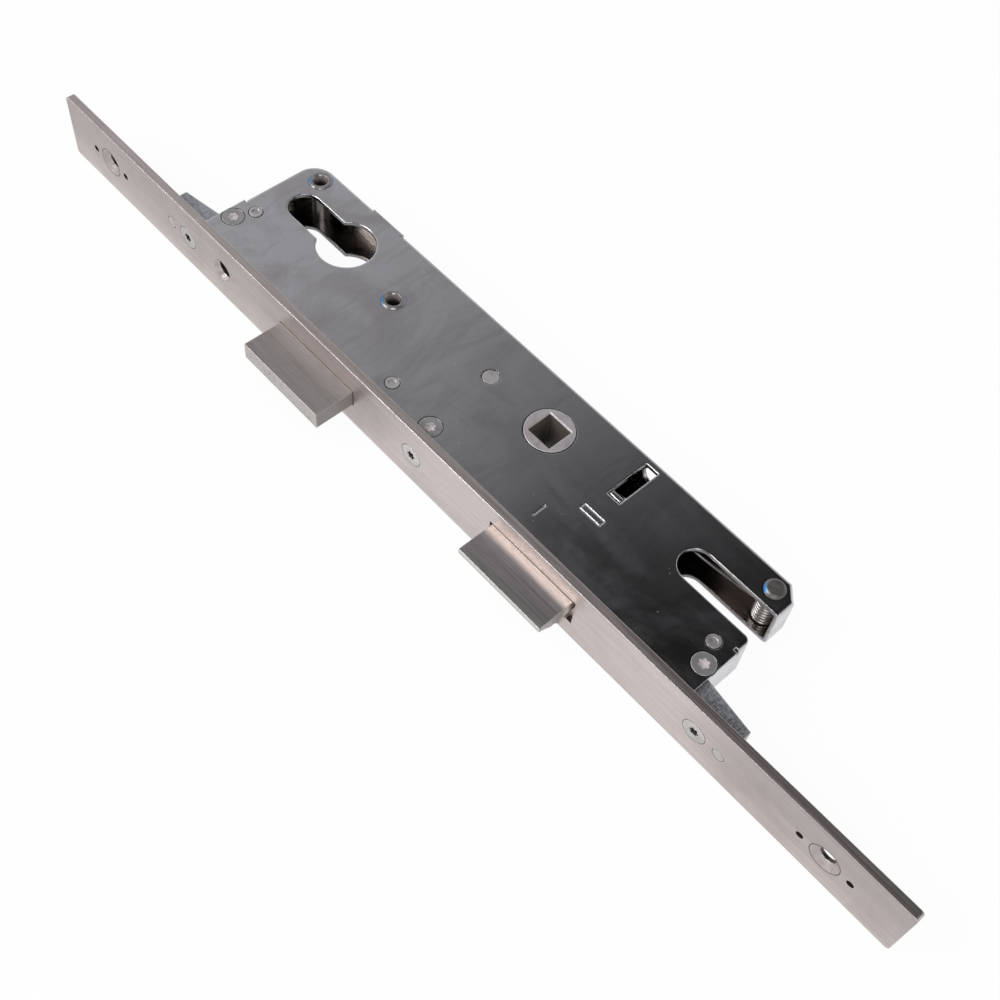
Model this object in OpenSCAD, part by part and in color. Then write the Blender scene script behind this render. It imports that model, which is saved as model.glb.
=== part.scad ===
// Mortise lock case for a narrow door profile, with a long faceplate, a dead bolt,
// a latch bolt, a spindle hub and a cut-out for a profile cylinder.
// X runs along the faceplate towards the latch end, Y from the faceplate into the case,
// Z through the thickness of the case. The origin is the middle between the two fixing
// holes, on the front face of the faceplate. Millimetres throughout.

/* [Layout] */
// Front of the faceplate to the spindle axis
backset = 30; // [29:0.5:32]
// Spindle axis to the centre of the cylinder hole
centre_distance = 85; // [83:1:92]
// Middle of the fixing holes to the spindle axis
spindle_offset = 18; // [12:1:24]
// Distance between the two fixing holes of the faceplate
fixing_spacing = 284; // [276:1:292]

/* [Faceplate] */
// Middle of the fixing holes to the lower end of the faceplate
faceplate_down = 163; // [152:1:180]
// Middle of the fixing holes to the upper end of the faceplate
faceplate_up = 165; // [152:1:180]
// Width of the faceplate
faceplate_width = 22; // [20:0.5:26]
// Corner radius of the faceplate
faceplate_corner = 1.2; // [0.5:0.1:3]
// Thickness of the faceplate
faceplate_thickness = 2.5; // [2.3:0.1:3]
// Diameter of the fixing holes
fixing_hole_d = 4.6; // [4:0.1:5.4]
// Rim diameter of the countersinks round the fixing holes
fixing_sink_d = 8.6; // [8:0.1:10]
// Depth of the countersinks round the fixing holes
fixing_sink_depth = 1.5; // [1.2:0.1:1.8]
// Diameter of the small holes beside the fixing holes
small_hole_d = 2.2; // [1.6:0.1:3]
// Distance from a fixing hole to the small holes beside it
small_hole_offset = 7.6; // [7:0.1:9]
// Diameter of the hole for the cylinder screw
cylinder_screw_d = 5.4; // [5:0.1:6]
// Rim diameter of the countersink round the cylinder screw hole
cylinder_sink_d = 8; // [7:0.1:9]
// Centre of the cylinder hole to the cylinder screw hole
cylinder_screw_offset = 19.4; // [18.8:0.1:20]

/* [Case] */
// Cylinder hole to the lower end of the case
case_below = 32; // [31:0.5:34]
// Spindle axis to the upper end of the case
case_above = 77; // [76:0.5:80]
// Spindle axis to the back of the case
case_behind = 15.2; // [15.2:0.1:17]
// Thickness of the closed case
case_thickness = 14.4; // [14.2:0.1:16]
// Thickness of the case sheet
sheet = 1.2; // [1:0.1:1.3]
// Outer radius of the folds
bend_radius = 1.5; // [1.3:0.1:2]
// Corner radius at the lower end, seen on the flat side
corner_radius = 7; // [5:0.5:8]
// Corner chamfer at the upper end, seen on the flat side
corner_chamfer = 4; // [3:0.5:4.5]
// Height of the seam between the two folded walls, from mid thickness
seam_height = -1.5; // [-2.5:0.1:1]
// Width of the seam
seam_gap = 0.2; // [0.1:0.05:0.4]
// Depth from the faceplate front to the end of the unfolded part, lower end
lower_tab_depth = 18; // [16:0.5:22]
// Depth from the faceplate front to the end of the unfolded part, upper end
upper_tab_depth = 19.8; // [16:0.2:22]
// Cylinder hole to the start of the unfolded part of the back edge
back_tab_start = -5.7; // [-8:0.1:-4]
// Length of the unfolded part of the back edge
back_tab_length = 13.2; // [10:0.1:15]

/* [Cut-outs] */
// Diameter of the round part of the cylinder hole
cylinder_hole_d = 17.6; // [17.2:0.1:18]
// Width of the narrow part of the cylinder hole
cylinder_slot_w = 10.2; // [10:0.1:10.8]
// Centre of the round part to the centre of the rounded end of the narrow part
cylinder_slot_reach = 18.9; // [18:0.1:19.5]
// Width of the open slot at the upper end
end_slot_w = 10.1; // [9:0.1:10.5]
// Spindle axis to the round end centre of the open slot
end_slot_reach = 53.8; // [50:0.2:58]
// Width of the window over the latch rod
window_w = 4.4; // [4:0.1:5]
// Length of the window over the latch rod
window_length = 14.6; // [13:0.1:15]
// Spindle axis to the end of the window nearest the faceplate
window_front = 2; // [1:0.1:3]
// Length of the thin slit beside the latch
slit_length = 4.4; // [3:0.1:6]
// Width of the thin slit beside the latch
slit_w = 0.25; // [0.2:0.05:0.8]
// Width of the relief notches at the ends of the folds
relief_w = 0.9; // [0.6:0.1:1.2]
// Depth of the relief notches
relief_depth = 1.3; // [1.2:0.1:1.8]
// Corner radius of the end slot at the front prong
prong_radius = 2; // [1:0.1:2.5]

/* [Fixing lugs] */
// How far the lower lug stands out past the case
lower_lug_reach = 13.9; // [12.5:0.1:17]
// How far the upper lug stands out past the case
upper_lug_reach = 15.8; // [12.5:0.1:17]
// Depth of a lug at its tip, from the faceplate front
lug_tip_depth = 7.4; // [7:0.1:8]
// Depth of a lug where it enters the case, from the faceplate front
lug_root_depth = 9.7; // [9:0.1:10.4]
// Depth of the part of a lug inside the case, from the faceplate front
lug_inner_depth = 21; // [20:0.1:22]
// Length of the part of a lug inside the case
lug_inner_length = 8.2; // [8:0.1:8.4]
// Lug tip to its alignment pin
lug_pin_inset = 2.1; // [2:0.1:3]
// Lug tip to its faceplate screw
lug_screw_inset = 10; // [8.5:0.1:10.2]
// Diameter of the alignment pins
lug_pin_d = 3.4; // [3:0.1:3.6]
// Length of the alignment pins
lug_pin_length = 6; // [5:0.1:6.4]

/* [Screws] */
// Head diameter of the faceplate screws
face_screw_head_d = 7; // [6.6:0.1:8]
// Thread diameter of the faceplate screws
face_screw_d = 3.9; // [3.6:0.1:4]
// Length of the faceplate screws
face_screw_length = 7.6; // [6.5:0.1:8]
// Head diameter of the cover screws
cover_screw_head_d = 6.4; // [6:0.1:6.8]
// Thread diameter of the cover screws
cover_screw_d = 3.4; // [3:0.1:3.6]
// Length of the cover screws
cover_screw_length = 4.6; // [4:0.1:4.8]
// Distance of the end cover screws from the case ends
end_screw_inset = 3.4; // [3.3:0.05:3.6]
// Depth of the end cover screws from the faceplate front
end_screw_depth = 11.4; // [10:0.1:12]
// Spindle axis to the middle faceplate screw, towards the cylinder
middle_screw_offset = 21; // [20:0.1:23]
// Depth of the middle cover screw from the faceplate front
middle_screw_depth = 6.5; // [6:0.1:7]

/* [Pins and rivets] */
// Diameter of the case pins
case_pin_d = 3.9; // [3.4:0.1:4]
// Distance of the end case pins from the case ends
end_pin_inset = 6; // [5.6:0.1:6.2]
// Depth of the end case pins from the faceplate front
end_pin_depth = 17.6; // [16.5:0.1:18.2]
// Spindle axis to the middle case pin, towards the cylinder
middle_pin_offset = 38.4; // [38:0.1:39]
// Depth of the middle case pin from the faceplate front
middle_pin_depth = 8.1; // [7.8:0.1:8.4]
// Outer diameter of the tubular rivets
tube_d = 5.8; // [5.4:0.1:6]
// Bore of the tubular rivets
tube_bore_d = 4.2; // [3.8:0.1:4.4]
// Rim diameter of the tubular rivets
tube_rim_d = 7; // [6.4:0.1:7]
// Rim height of the tubular rivets
tube_rim_h = 0.45; // [0.3:0.05:0.6]
// Cylinder hole to the lower tubular rivet, towards the lower end
corner_tube_offset = 24.4; // [24:0.1:25]
// Lower tubular rivet from the back of the case
corner_tube_inset = 5.2; // [5:0.1:5.2]
// Spindle axis to the upper tubular rivet, towards the cylinder
middle_tube_offset = 60.5; // [60:0.1:61]
// Upper tubular rivet ahead of the spindle axis
middle_tube_drop = 3; // [2:0.1:3]
// Diameter of the guide pin
guide_pin_d = 4.8; // [4:0.1:5.2]
// Spindle axis to the guide pin, towards the cylinder
guide_pin_offset = 23.2; // [22:0.1:24]
// Shank diameter of the spring post
post_d = 4.4; // [4:0.1:4.8]
// Head diameter of the spring post
post_head_d = 6; // [5.4:0.1:6.8]
// Head height of the spring post
post_head_h = 0.9; // [0.6:0.1:1.2]
// Spindle axis to the spring post, towards the upper end
post_offset = 71.1; // [70.8:0.1:71.4]
// Spring post from the back of the case
post_inset = 4.9; // [4.9:0.1:5.1]

/* [Dead bolt] */
// Width of the dead bolt head
dead_w = 31.4; // [30:0.1:32]
// Thickness of the dead bolt head
dead_t = 5.6; // [5:0.1:6.4]
// How far the dead bolt stands out of the faceplate
dead_throw = 12.5; // [10:0.5:12.5]
// Spindle axis to the middle of the dead bolt, towards the cylinder
dead_offset = 61.1; // [60.8:0.1:61.2]
// Depth of the inner end of the dead bolt head
dead_inner_depth = 8; // [7:0.1:8.4]
// How far the shoulders of both bolts are wider than their heads, each side
shoulder = 1.6; // [1.2:0.1:1.7]
// Thickness of the dead bolt slide
slide_t = 3; // [2:0.1:3.2]
// Width of the dead bolt slide
slide_w = 25; // [23:0.5:26]
// Clear space left behind the slide when the bolt is drawn in
slide_end_gap = 0.4; // [0.3:0.1:1]
// Depth of the notch for the cylinder cam
cam_notch_depth = 4.9; // [3:0.1:5.2]
// Width of the notch for the cylinder cam
cam_notch_w = 9; // [8:0.5:10]
// Diameter of the rivets that hold the dead bolt head
bolt_rivet_d = 3; // [2:0.1:3.2]
// Half the distance between the rivets of the dead bolt head
bolt_rivet_half = 8.5; // [7:0.5:9]

/* [Latch bolt] */
// Width of the latch head
latch_w = 29.6; // [28:0.1:30]
// Thickness of the latch head
latch_t = 9.4; // [9:0.1:10]
// How far the latch head stands out of the faceplate
latch_projection = 11.5; // [11.4:0.1:12]
// Thickness of the latch head at its tip
latch_tip_t = 1.8; // [1.5:0.1:2.5]
// Front of the faceplate to the foot of the hollow bevel
bevel_foot_projection = 2.6; // [2:0.1:4]
// Radius of the hollow bevel
bevel_r = 18.8; // [12:0.2:40]
// How far the lower half of the latch head is set back at its ends
latch_step = 0.8; // [0.3:0.1:1.2]
// Height of that step from mid thickness
latch_step_height = 0.5; // [0:0.1:1]
// Spindle axis to the latch rod
rod_offset = 26; // [25.8:0.1:26.2]
// Diameter of the latch rod
rod_d = 4; // [3.4:0.1:4]
// Latch head centre from the latch rod
latch_shift = -0.45; // [-0.6:0.05:0]
// Depth of the inner end of the latch head
latch_inner_depth = 7.5; // [7:0.1:7.6]
// Diameter of the spring pocket in the latch head
pocket_d = 6.8; // [6.6:0.1:7]
// Thickness of the neck that holds the rod plate
rod_neck_d = 3; // [2.4:0.1:3.2]
// Length of the rod plate along the faceplate
rod_plate_w = 8.8; // [8:0.1:9.2]
// Thickness of the rod plate
rod_plate_t = 2; // [1.6:0.1:2.2]
// Width of the tenons of the rod plate, which run in the two windows
rod_tenon_w = 3.8; // [3:0.1:4]
// Thickness of the tenons of the rod plate
rod_tenon_t = 1.4; // [1:0.1:1.5]
// Rod plate front ahead of the spindle axis
rod_plate_drop = 1.4; // [1.2:0.1:1.6]
// Diameter of the swaged end of the latch rod
rod_head_d = 4.8; // [4:0.1:5]
// Diameter of the hole behind the latch rod in the back wall
back_hole_d = 6.8; // [6.4:0.1:7]
// Height of that hole from mid thickness
back_hole_height = 1.1; // [0:0.1:1.2]
// Spring plate front from the spindle axis
spring_plate_drop = 10.6; // [10.6:0.1:11]
// Thickness of the spring plate
spring_plate_t = 1.8; // [1.6:0.1:1.8]
// Length of the spring plate along the faceplate
spring_plate_w = 17; // [14:0.5:18]
// Length of the tenons of the spring plate
tenon_w = 7; // [6:0.1:8]

/* [Hub] */
// Size of the spindle square
spindle = 8.1; // [7.9:0.1:8.3]
// Chamfer round the spindle square
spindle_chamfer = 0.35; // [0.2:0.05:0.5]
// Diameter of the hub bosses
boss_d = 14; // [13.6:0.1:14.4]
// How far a boss stands out of the case
boss_proud = 0.3; // [0.2:0.1:0.5]
// Diameter of the hub between the plates
hub_d = 18.6; // [18:0.1:19]
// Nose radius of the hub fork
nose_r = 3; // [2.8:0.1:3]
// Thickness of one cheek of the hub fork
cheek_t = 2.3; // [2:0.1:2.4]
// Gap between the fork nose and the rod plate
nose_gap = 0.3; // [0.3:0.02:0.4]

/* [Springs] */
// Wire diameter of the return spring
return_wire = 0.8; // [0.7:0.05:0.8]
// Mean radius of the return spring
return_r = 3.1; // [3:0.05:3.1]
// Turns of the return spring
return_turns = 7.5; // [6.5:1:7.5]
// Height of the return spring between its two legs
return_height = 9.35; // [9.2:0.05:9.4]
// Height of the upper leg of the return spring from mid thickness
leg_height = 3.8; // [3.7:0.05:3.85]
// Length of the short leg of the return spring
short_leg = 12; // [8:1:20]
// Wire diameter of the latch spring
latch_wire = 0.7; // [0.6:0.05:0.7]
// Mean radius of the latch spring
latch_spring_r = 2.8; // [2.7:0.05:2.85]
// Turns of the latch spring
latch_turns = 10; // [8:1:12]
// Thickness of the detent spring leaf
detent_t = 0.6; // [0.4:0.1:0.8]

/* [Clearances] */
// Running gap round turning parts
run_gap = 0.08; // [0.05:0.01:0.1]
// Gap round seated pins, screws and blocks
seat_gap = 0.05; // [0.03:0.01:0.1]
// Gap along the width of the dead bolt, each end
dead_gap = 0.4; // [0.3:0.05:0.6]
// Gap along the width of the latch head, each end
latch_gap = 0.9; // [0.5:0.05:1]
// Gap over and under both bolts
bolt_gap = 0.3; // [0.2:0.05:0.4]
// Gap round the tenons of the spring plate
tenon_gap = 0.1; // [0.05:0.05:0.2]

/* [View] */
// Sub-part to draw, or all of them

/* [Hidden] */
hub_x = spindle_offset;
cyl_x = hub_x - centre_distance;
case_x0 = cyl_x - case_below;
case_x1 = hub_x + case_above;
case_back = backset + case_behind;
half = case_thickness / 2;
inner = half - sheet;
block_half = inner - seat_gap;
seat_y = faceplate_thickness;
lower_tip = case_x0 - lower_lug_reach;
upper_tip = case_x1 + upper_lug_reach;
face_screw_x = [lower_tip + lug_screw_inset, hub_x - middle_screw_offset, upper_tip - lug_screw_inset];
lug_pin_x = [lower_tip + lug_pin_inset, upper_tip - lug_pin_inset];
cover_screw_at = [[case_x0 + end_screw_inset, end_screw_depth],
    [hub_x - middle_screw_offset, middle_screw_depth],
    [case_x1 - end_screw_inset, end_screw_depth]];
case_pin_at = [[case_x0 + end_pin_inset, end_pin_depth],
    [hub_x - middle_pin_offset, middle_pin_depth],
    [case_x1 - end_pin_inset, end_pin_depth]];
tube_at = [[cyl_x - corner_tube_offset, case_back - corner_tube_inset],
    [hub_x - middle_tube_offset, backset - middle_tube_drop]];
guide_at = [hub_x - guide_pin_offset, backset];
post_at = [hub_x + post_offset, case_back - post_inset];
face_sink = 1.9;
cover_sink = 1.7;
recess_r = 1.05;
end_slot_x = hub_x + end_slot_reach;
end_slot_low = backset - end_slot_w / 2;
end_slot_high = backset + end_slot_w / 2;
back_tab_x = cyl_x + back_tab_start;
dead_x = hub_x - dead_offset;
slide_front = seat_y + 0.3;
slide_end = case_back - sheet - dead_throw - slide_end_gap;
slide_x0 = dead_x - slide_w / 2;
tube_slot_half = tube_d / 2 + 0.4;
tube_slot_front = tube_at[1][1] - dead_throw - tube_d / 2 - 0.5;
cam_notch_y = backset - dead_throw / 2 - 1.2;
rod_x = hub_x + rod_offset;
latch_x = rod_x + latch_shift;
latch_bottom = -latch_t / 2;
bevel_tip = [-latch_projection, latch_t / 2 - latch_tip_t];
bevel_foot = [-bevel_foot_projection, latch_bottom];
bevel_chord = bevel_foot - bevel_tip;
bevel_side = [bevel_chord[1], -bevel_chord[0]] / norm(bevel_chord);
bevel_centre = (bevel_tip + bevel_foot) / 2 + bevel_side * sqrt(bevel_r * bevel_r - pow(norm(bevel_chord) / 2, 2));
pocket_front = -3;
rod_front = -7;
rod_plate_y = backset - rod_plate_drop;
rod_plate_end = rod_plate_y + rod_plate_t;
nose_y = rod_plate_y - nose_r - nose_gap;
rod_head_h = 1;
spring_plate_y = backset - spring_plate_drop;
cheek_low = rod_d / 2 + 0.4;
leg_bend = [rod_x + 3.5, rod_plate_end + 2.5];
leg_end = [rod_x - 1.1, rod_plate_end + return_wire / 2 + 0.1];
detent_nose_r = 1;
detent_nose_at = [dead_x + slide_w / 2 + detent_nose_r - 0.2, backset - 6];
wire_sides = 6;
wire_rings = 8;
round_fn = 64;
steel = [0.72, 0.70, 0.69];
dark_steel = [0.45, 0.45, 0.47];
bright = [0.82, 0.82, 0.84];
zinc = [0.60, 0.62, 0.66];

// A round bar or bore along Y
module along_y(x, y, length, r) {
    translate([x, y, 0]) rotate([-90, 0, 0]) cylinder(h = length, r = r, $fn = round_fn);
}

// A round bar or bore along Z at a point of the flat side
module along_z(at, z, length, r) {
    translate([at[0], at[1], z]) cylinder(h = length, r = r, $fn = round_fn);
}

// A straight block given by two opposite corners
module block(x0, x1, y0, y1, z0, z1) {
    translate([x0, y0, z0]) cube([x1 - x0, y1 - y0, z1 - z0]);
}

// Countersunk screw pointing along +Z with its head face at the bottom
module screw(head_d, thread_d, sink, length) {
    difference() {
        union() {
            cylinder(h = sink, r1 = head_d / 2, r2 = thread_d / 2, $fn = round_fn);
            translate([0, 0, sink]) cylinder(h = length - sink, r = thread_d / 2, $fn = round_fn);
        }
        translate([0, 0, -1]) cylinder(h = 2.2, r = recess_r, $fn = 24);
        for (i = [0:5])
            rotate([0, 0, 60 * i]) translate([recess_r, 0, -1]) cylinder(h = 2.2, r = 0.42, $fn = 24);
    }
}

// Space for a countersunk screw, with the seat gap all round
module screw_space(head_d, thread_d, sink, length) {
    translate([0, 0, -1]) cylinder(h = 1.001, r = head_d / 2 + seat_gap, $fn = round_fn);
    cylinder(h = sink, r1 = head_d / 2 + seat_gap, r2 = thread_d / 2 + seat_gap, $fn = round_fn);
    cylinder(h = length + seat_gap, r = thread_d / 2 + seat_gap, $fn = round_fn);
}

// Space for a cover screw at a point of the flat side
module cover_screw_space(at) {
    translate([at[0], at[1], half]) rotate([180, 0, 0])
        screw_space(cover_screw_head_d, cover_screw_d, cover_sink, cover_screw_length);
}

// Outline of the case on its flat side, shrunk by an inset, open towards the faceplate
module case_plan(inset, front) {
    x0 = case_x0 + inset;
    x1 = case_x1 - inset;
    y1 = case_back - inset;
    r = corner_radius - inset;
    c = corner_chamfer - inset * (2 - sqrt(2));
    difference() {
        polygon([[x0, front], [x1, front], [x1, y1 - c], [x1 - c, y1], [x0, y1]]);
        translate([x0 - 1, y1 - r]) difference() {
            square(r + 1);
            translate([r + 1, 0]) circle(r = r, $fn = round_fn);
        }
    }
}

// Section of what a fold takes off a sharp outer edge
module fold_section() {
    difference() {
        translate([-bend_radius, -bend_radius]) square(bend_radius + 1);
        translate([-bend_radius, -bend_radius]) circle(r = bend_radius, $fn = round_fn);
    }
}

// Fold along the back edge between two positions
module fold_back(x0, x1) {
    translate([x0, case_back, half]) rotate([90, 0, 90]) linear_extrude(x1 - x0) fold_section();
}

// Fold along the lower end between two depths
module fold_lower(y0, y1) {
    translate([case_x0, y0, half]) rotate([90, 0, 180]) linear_extrude(y1 - y0) fold_section();
}

// Fold along the upper end between two depths
module fold_upper(y0, y1) {
    translate([case_x1, y1, half]) rotate([90, 0, 0]) linear_extrude(y1 - y0) fold_section();
}

// Folds round the two back corners
module fold_corners() {
    translate([case_x0 + corner_radius, case_back - corner_radius, half])
        rotate([0, 0, 90]) rotate_extrude(angle = 90, $fn = round_fn) translate([corner_radius, 0]) fold_section();
    translate([case_x1 - corner_chamfer - 2, case_back + 2, half])
        rotate([90, 0, 45]) linear_extrude(corner_chamfer * sqrt(2) + 4 * sqrt(2)) fold_section();
}

// Cylinder hole, spindle hole, end slot, window, tenon slot and pin holes, through one plate
module plate_holes(z) {
    h = sheet + 2;
    along_z([cyl_x, backset], z - 1, h, cylinder_hole_d / 2);
    along_z([cyl_x - cylinder_slot_reach, backset], z - 1, h, cylinder_slot_w / 2);
    block(cyl_x - cylinder_slot_reach, cyl_x, backset - cylinder_slot_w / 2, backset + cylinder_slot_w / 2,
        z - 1, z - 1 + h);
    along_z([hub_x, backset], z - 1, h, boss_d / 2 + run_gap);
    block(rod_x - window_w / 2, rod_x + window_w / 2, backset - window_front, backset - window_front + window_length,
        z - 1, z - 1 + h);
    block(rod_x - tenon_w / 2 - tenon_gap, rod_x + tenon_w / 2 + tenon_gap, spring_plate_y - tenon_gap,
        spring_plate_y + spring_plate_t + tenon_gap, z - 1, z - 1 + h);
    for (p = case_pin_at)
        along_z(p, z - 1, h, case_pin_d / 2 + seat_gap);
    for (p = tube_at)
        along_z(p, z - 1, h, tube_d / 2 + seat_gap);
    along_z(guide_at, z - 1, h, guide_pin_d / 2 + seat_gap);
    along_z(post_at, z - 1, h, post_d / 2 + seat_gap);
}

// Hole behind the latch rod, half in each wall
module back_hole() {
    translate([rod_x, case_back - sheet - 1, back_hole_height]) rotate([-90, 0, 0])
        cylinder(h = sheet + 2, r = back_hole_d / 2, $fn = round_fn);
}

// What the corner radius takes off the front prong of the end slot
module prong_corner() {
    r = prong_radius;
    translate([case_x1 - r, end_slot_low - r, -half - 1]) linear_extrude(case_thickness + 2) difference() {
        square(r + 1);
        circle(r = r, $fn = round_fn);
    }
}

// Relief notches in the cover where its folds begin
module relief_notches() {
    z0 = inner - 0.4;
    block(case_x0 - 1, case_x0 + relief_depth, lower_tab_depth, lower_tab_depth + relief_w, z0, half + 1);
    block(case_x1 - relief_depth, case_x1 + 1, upper_tab_depth, upper_tab_depth + relief_w, z0, half + 1);
    for (x = [back_tab_x - relief_w, back_tab_x + back_tab_length])
        block(x, x + relief_w, case_back - relief_depth, case_back + 1, z0, half + 1);
}

// Open slot at the upper end, from one height to another
module end_slot(z0, z1) {
    along_z([end_slot_x, backset], z0, z1 - z0, end_slot_w / 2);
    block(end_slot_x, case_x1 + 1, end_slot_low, end_slot_high, z0, z1);
}

// What the corner radius takes off one end of the faceplate
module plate_corner(x, flip) {
    r = faceplate_corner;
    translate([x, faceplate_thickness + 1, faceplate_width / 2]) mirror([flip, 0, 0]) rotate([90, 0, 0])
        linear_extrude(faceplate_thickness + 2) difference() {
            translate([-r, -r]) square(r + 1);
            translate([-r, -r]) circle(r = r, $fn = round_fn);
        }
}

module faceplate() {
    color(steel) difference() {
        block(-faceplate_down, faceplate_up, 0, faceplate_thickness, -faceplate_width / 2, faceplate_width / 2);
        for (s = [0, 1])
            mirror([0, 0, s]) {
                plate_corner(faceplate_up, 0);
                plate_corner(-faceplate_down, 1);
            }
        for (s = [-1, 1]) {
            x = s * fixing_spacing / 2;
            along_y(x, -1, faceplate_thickness + 2, fixing_hole_d / 2);
            translate([x, 0, 0]) rotate([-90, 0, 0])
                cylinder(h = fixing_sink_depth, r1 = fixing_sink_d / 2, r2 = fixing_hole_d / 2, $fn = round_fn);
            for (t = [-1, 1])
                along_y(x + t * small_hole_offset, -1, faceplate_thickness + 2, small_hole_d / 2);
        }
        along_y(cyl_x - cylinder_screw_offset, -1, faceplate_thickness + 2, cylinder_screw_d / 2);
        translate([cyl_x - cylinder_screw_offset, 0, 0]) rotate([-90, 0, 0])
            cylinder(h = (cylinder_sink_d - cylinder_screw_d) / 2, r1 = cylinder_sink_d / 2, r2 = cylinder_screw_d / 2, $fn = round_fn);
        for (x = face_screw_x)
            translate([x, 0, 0]) rotate([-90, 0, 0])
                screw_space(face_screw_head_d, face_screw_d, face_sink, face_screw_length);
        for (x = lug_pin_x)
            along_y(x, -1, faceplate_thickness + 2, lug_pin_d / 2 + seat_gap);
        block(dead_x - dead_w / 2 - dead_gap, dead_x + dead_w / 2 + dead_gap, -1, faceplate_thickness + 1,
            -dead_t / 2 - bolt_gap, dead_t / 2 + bolt_gap);
        block(latch_x - latch_w / 2 - latch_gap, latch_x + latch_w / 2 + latch_gap, -1, faceplate_thickness + 1,
            -latch_t / 2 - bolt_gap, latch_t / 2 + bolt_gap);
    }
}

module front_cover() {
    low = seam_height + seam_gap / 2;
    color(dark_steel) difference() {
        union() {
            difference() {
                translate([0, 0, low]) linear_extrude(half - low) case_plan(0, seat_y);
                translate([0, 0, low - 1]) linear_extrude(inner - low + 1) case_plan(sheet, seat_y - 1);
                // No folded wall where the wall of the rear shell reaches up to the cover
                block(case_x0 - 1, case_x0 + 3, seat_y - 1, lower_tab_depth, low - 1, inner);
                block(case_x1 - 3, case_x1 + 1, seat_y - 1, upper_tab_depth, low - 1, inner);
                block(back_tab_x, back_tab_x + back_tab_length, case_back - 3, case_back + 1, low - 1, inner);
            }
            // Full-height wall on the front prong of the end slot
            block(case_x1 - sheet, case_x1, upper_tab_depth + seam_gap, end_slot_low, -inner + seam_gap, inner + 0.1);
        }
        fold_lower(lower_tab_depth, case_back - corner_radius);
        fold_back(case_x0 + corner_radius, back_tab_x);
        fold_back(back_tab_x + back_tab_length, case_x1 + 2);
        fold_upper(upper_tab_depth, case_back + 2);
        fold_corners();
        plate_holes(inner);
        back_hole();
        relief_notches();
        prong_corner();
        end_slot(-half - 1, half + 1);
        for (p = cover_screw_at)
            cover_screw_space(p);
        block(hub_x + 16.3 - slit_w / 2, hub_x + 16.3 + slit_w / 2, 8.6, 8.6 + slit_length, inner - 1, half + 1);
    }
}

module rear_shell() {
    top = seam_height - seam_gap / 2;
    color(dark_steel) difference() {
        union() {
            difference() {
                translate([0, 0, -half]) linear_extrude(half + top) case_plan(0, seat_y);
                translate([0, 0, -inner]) linear_extrude(half + top) case_plan(sheet, seat_y - 1);
                // Ways out for the two lugs
                block(case_x0 - 1, case_x0 + 3, seat_y - 1, lug_root_depth + seam_gap, -inner, half);
                block(case_x1 - 3, case_x1 + 1, seat_y - 1, lug_root_depth + seam_gap, -inner, half);
                block(case_x1 - 3, case_x1 + 1, upper_tab_depth, end_slot_low + 1, -inner, half);
            }
            // Walls that reach up to the cover
            block(case_x0, case_x0 + sheet, lug_root_depth + seam_gap, lower_tab_depth - seam_gap, -inner - 0.1, block_half);
            block(case_x1 - sheet, case_x1, lug_root_depth + seam_gap, upper_tab_depth, -inner - 0.1, block_half);
            block(back_tab_x + seam_gap, back_tab_x + back_tab_length - seam_gap, case_back - sheet, case_back,
                -inner - 0.1, block_half);
        }
        mirror([0, 0, 1]) {
            fold_lower(seat_y - 1, case_back - corner_radius);
            fold_back(case_x0 + corner_radius, case_x1 + 2);
            fold_upper(seat_y - 1, case_back + 2);
            fold_corners();
        }
        plate_holes(-half);
        back_hole();
        prong_corner();
        end_slot(-half - 1, half + 1);
    }
}

// Fixing lug in the frame of the lower end, with its tip at x = -reach
module lug(reach) {
    difference() {
        translate([0, 0, -block_half]) linear_extrude(2 * block_half)
            polygon([[-reach, seat_y], [-reach, lug_tip_depth], [0, lug_root_depth],
                [sheet + seat_gap, lug_root_depth], [sheet + seat_gap, lug_inner_depth],
                [sheet + lug_inner_length, lug_inner_depth], [sheet + lug_inner_length, seat_y]]);
        translate([-reach + lug_screw_inset, 0, 0]) rotate([-90, 0, 0])
            screw_space(face_screw_head_d, face_screw_d, face_sink, face_screw_length);
        along_y(-reach + lug_pin_inset, seat_y - 1, lug_pin_length - seat_y + 1 + seat_gap, lug_pin_d / 2 + seat_gap);
        cover_screw_space([end_screw_inset, end_screw_depth]);
        along_z([end_pin_inset, end_pin_depth], -half, case_thickness, case_pin_d / 2 + seat_gap);
    }
}

module lower_lug() {
    color(zinc) translate([case_x0, 0, 0]) lug(lower_lug_reach);
}

module upper_lug() {
    color(zinc) translate([case_x1, 0, 0]) mirror([1, 0, 0]) lug(upper_lug_reach);
}

module centre_block() {
    color(zinc) difference() {
        block(case_pin_at[1][0] - 4, face_screw_x[1] + 6, seat_y, 11, -block_half, block_half);
        translate([face_screw_x[1], 0, 0]) rotate([-90, 0, 0])
            screw_space(face_screw_head_d, face_screw_d, face_sink, face_screw_length);
        cover_screw_space(cover_screw_at[1]);
        along_z(case_pin_at[1], -half, case_thickness, case_pin_d / 2 + seat_gap);
    }
}

module faceplate_screws() {
    color(bright) for (x = face_screw_x)
        translate([x, 0, 0]) rotate([-90, 0, 0]) screw(face_screw_head_d, face_screw_d, face_sink, face_screw_length);
}

module cover_screws() {
    color(bright) for (p = cover_screw_at)
        translate([p[0], p[1], half]) rotate([180, 0, 0])
            screw(cover_screw_head_d, cover_screw_d, cover_sink, cover_screw_length);
}

module lug_pins() {
    color(bright) for (x = lug_pin_x)
        along_y(x, 0, lug_pin_length, lug_pin_d / 2);
}

module case_pins() {
    color(bright) for (p = case_pin_at)
        difference() {
            along_z(p, -half, case_thickness + 0.2, case_pin_d / 2);
            along_z(p, half - 0.15, 1, case_pin_d * 0.3);
        }
}

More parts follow.
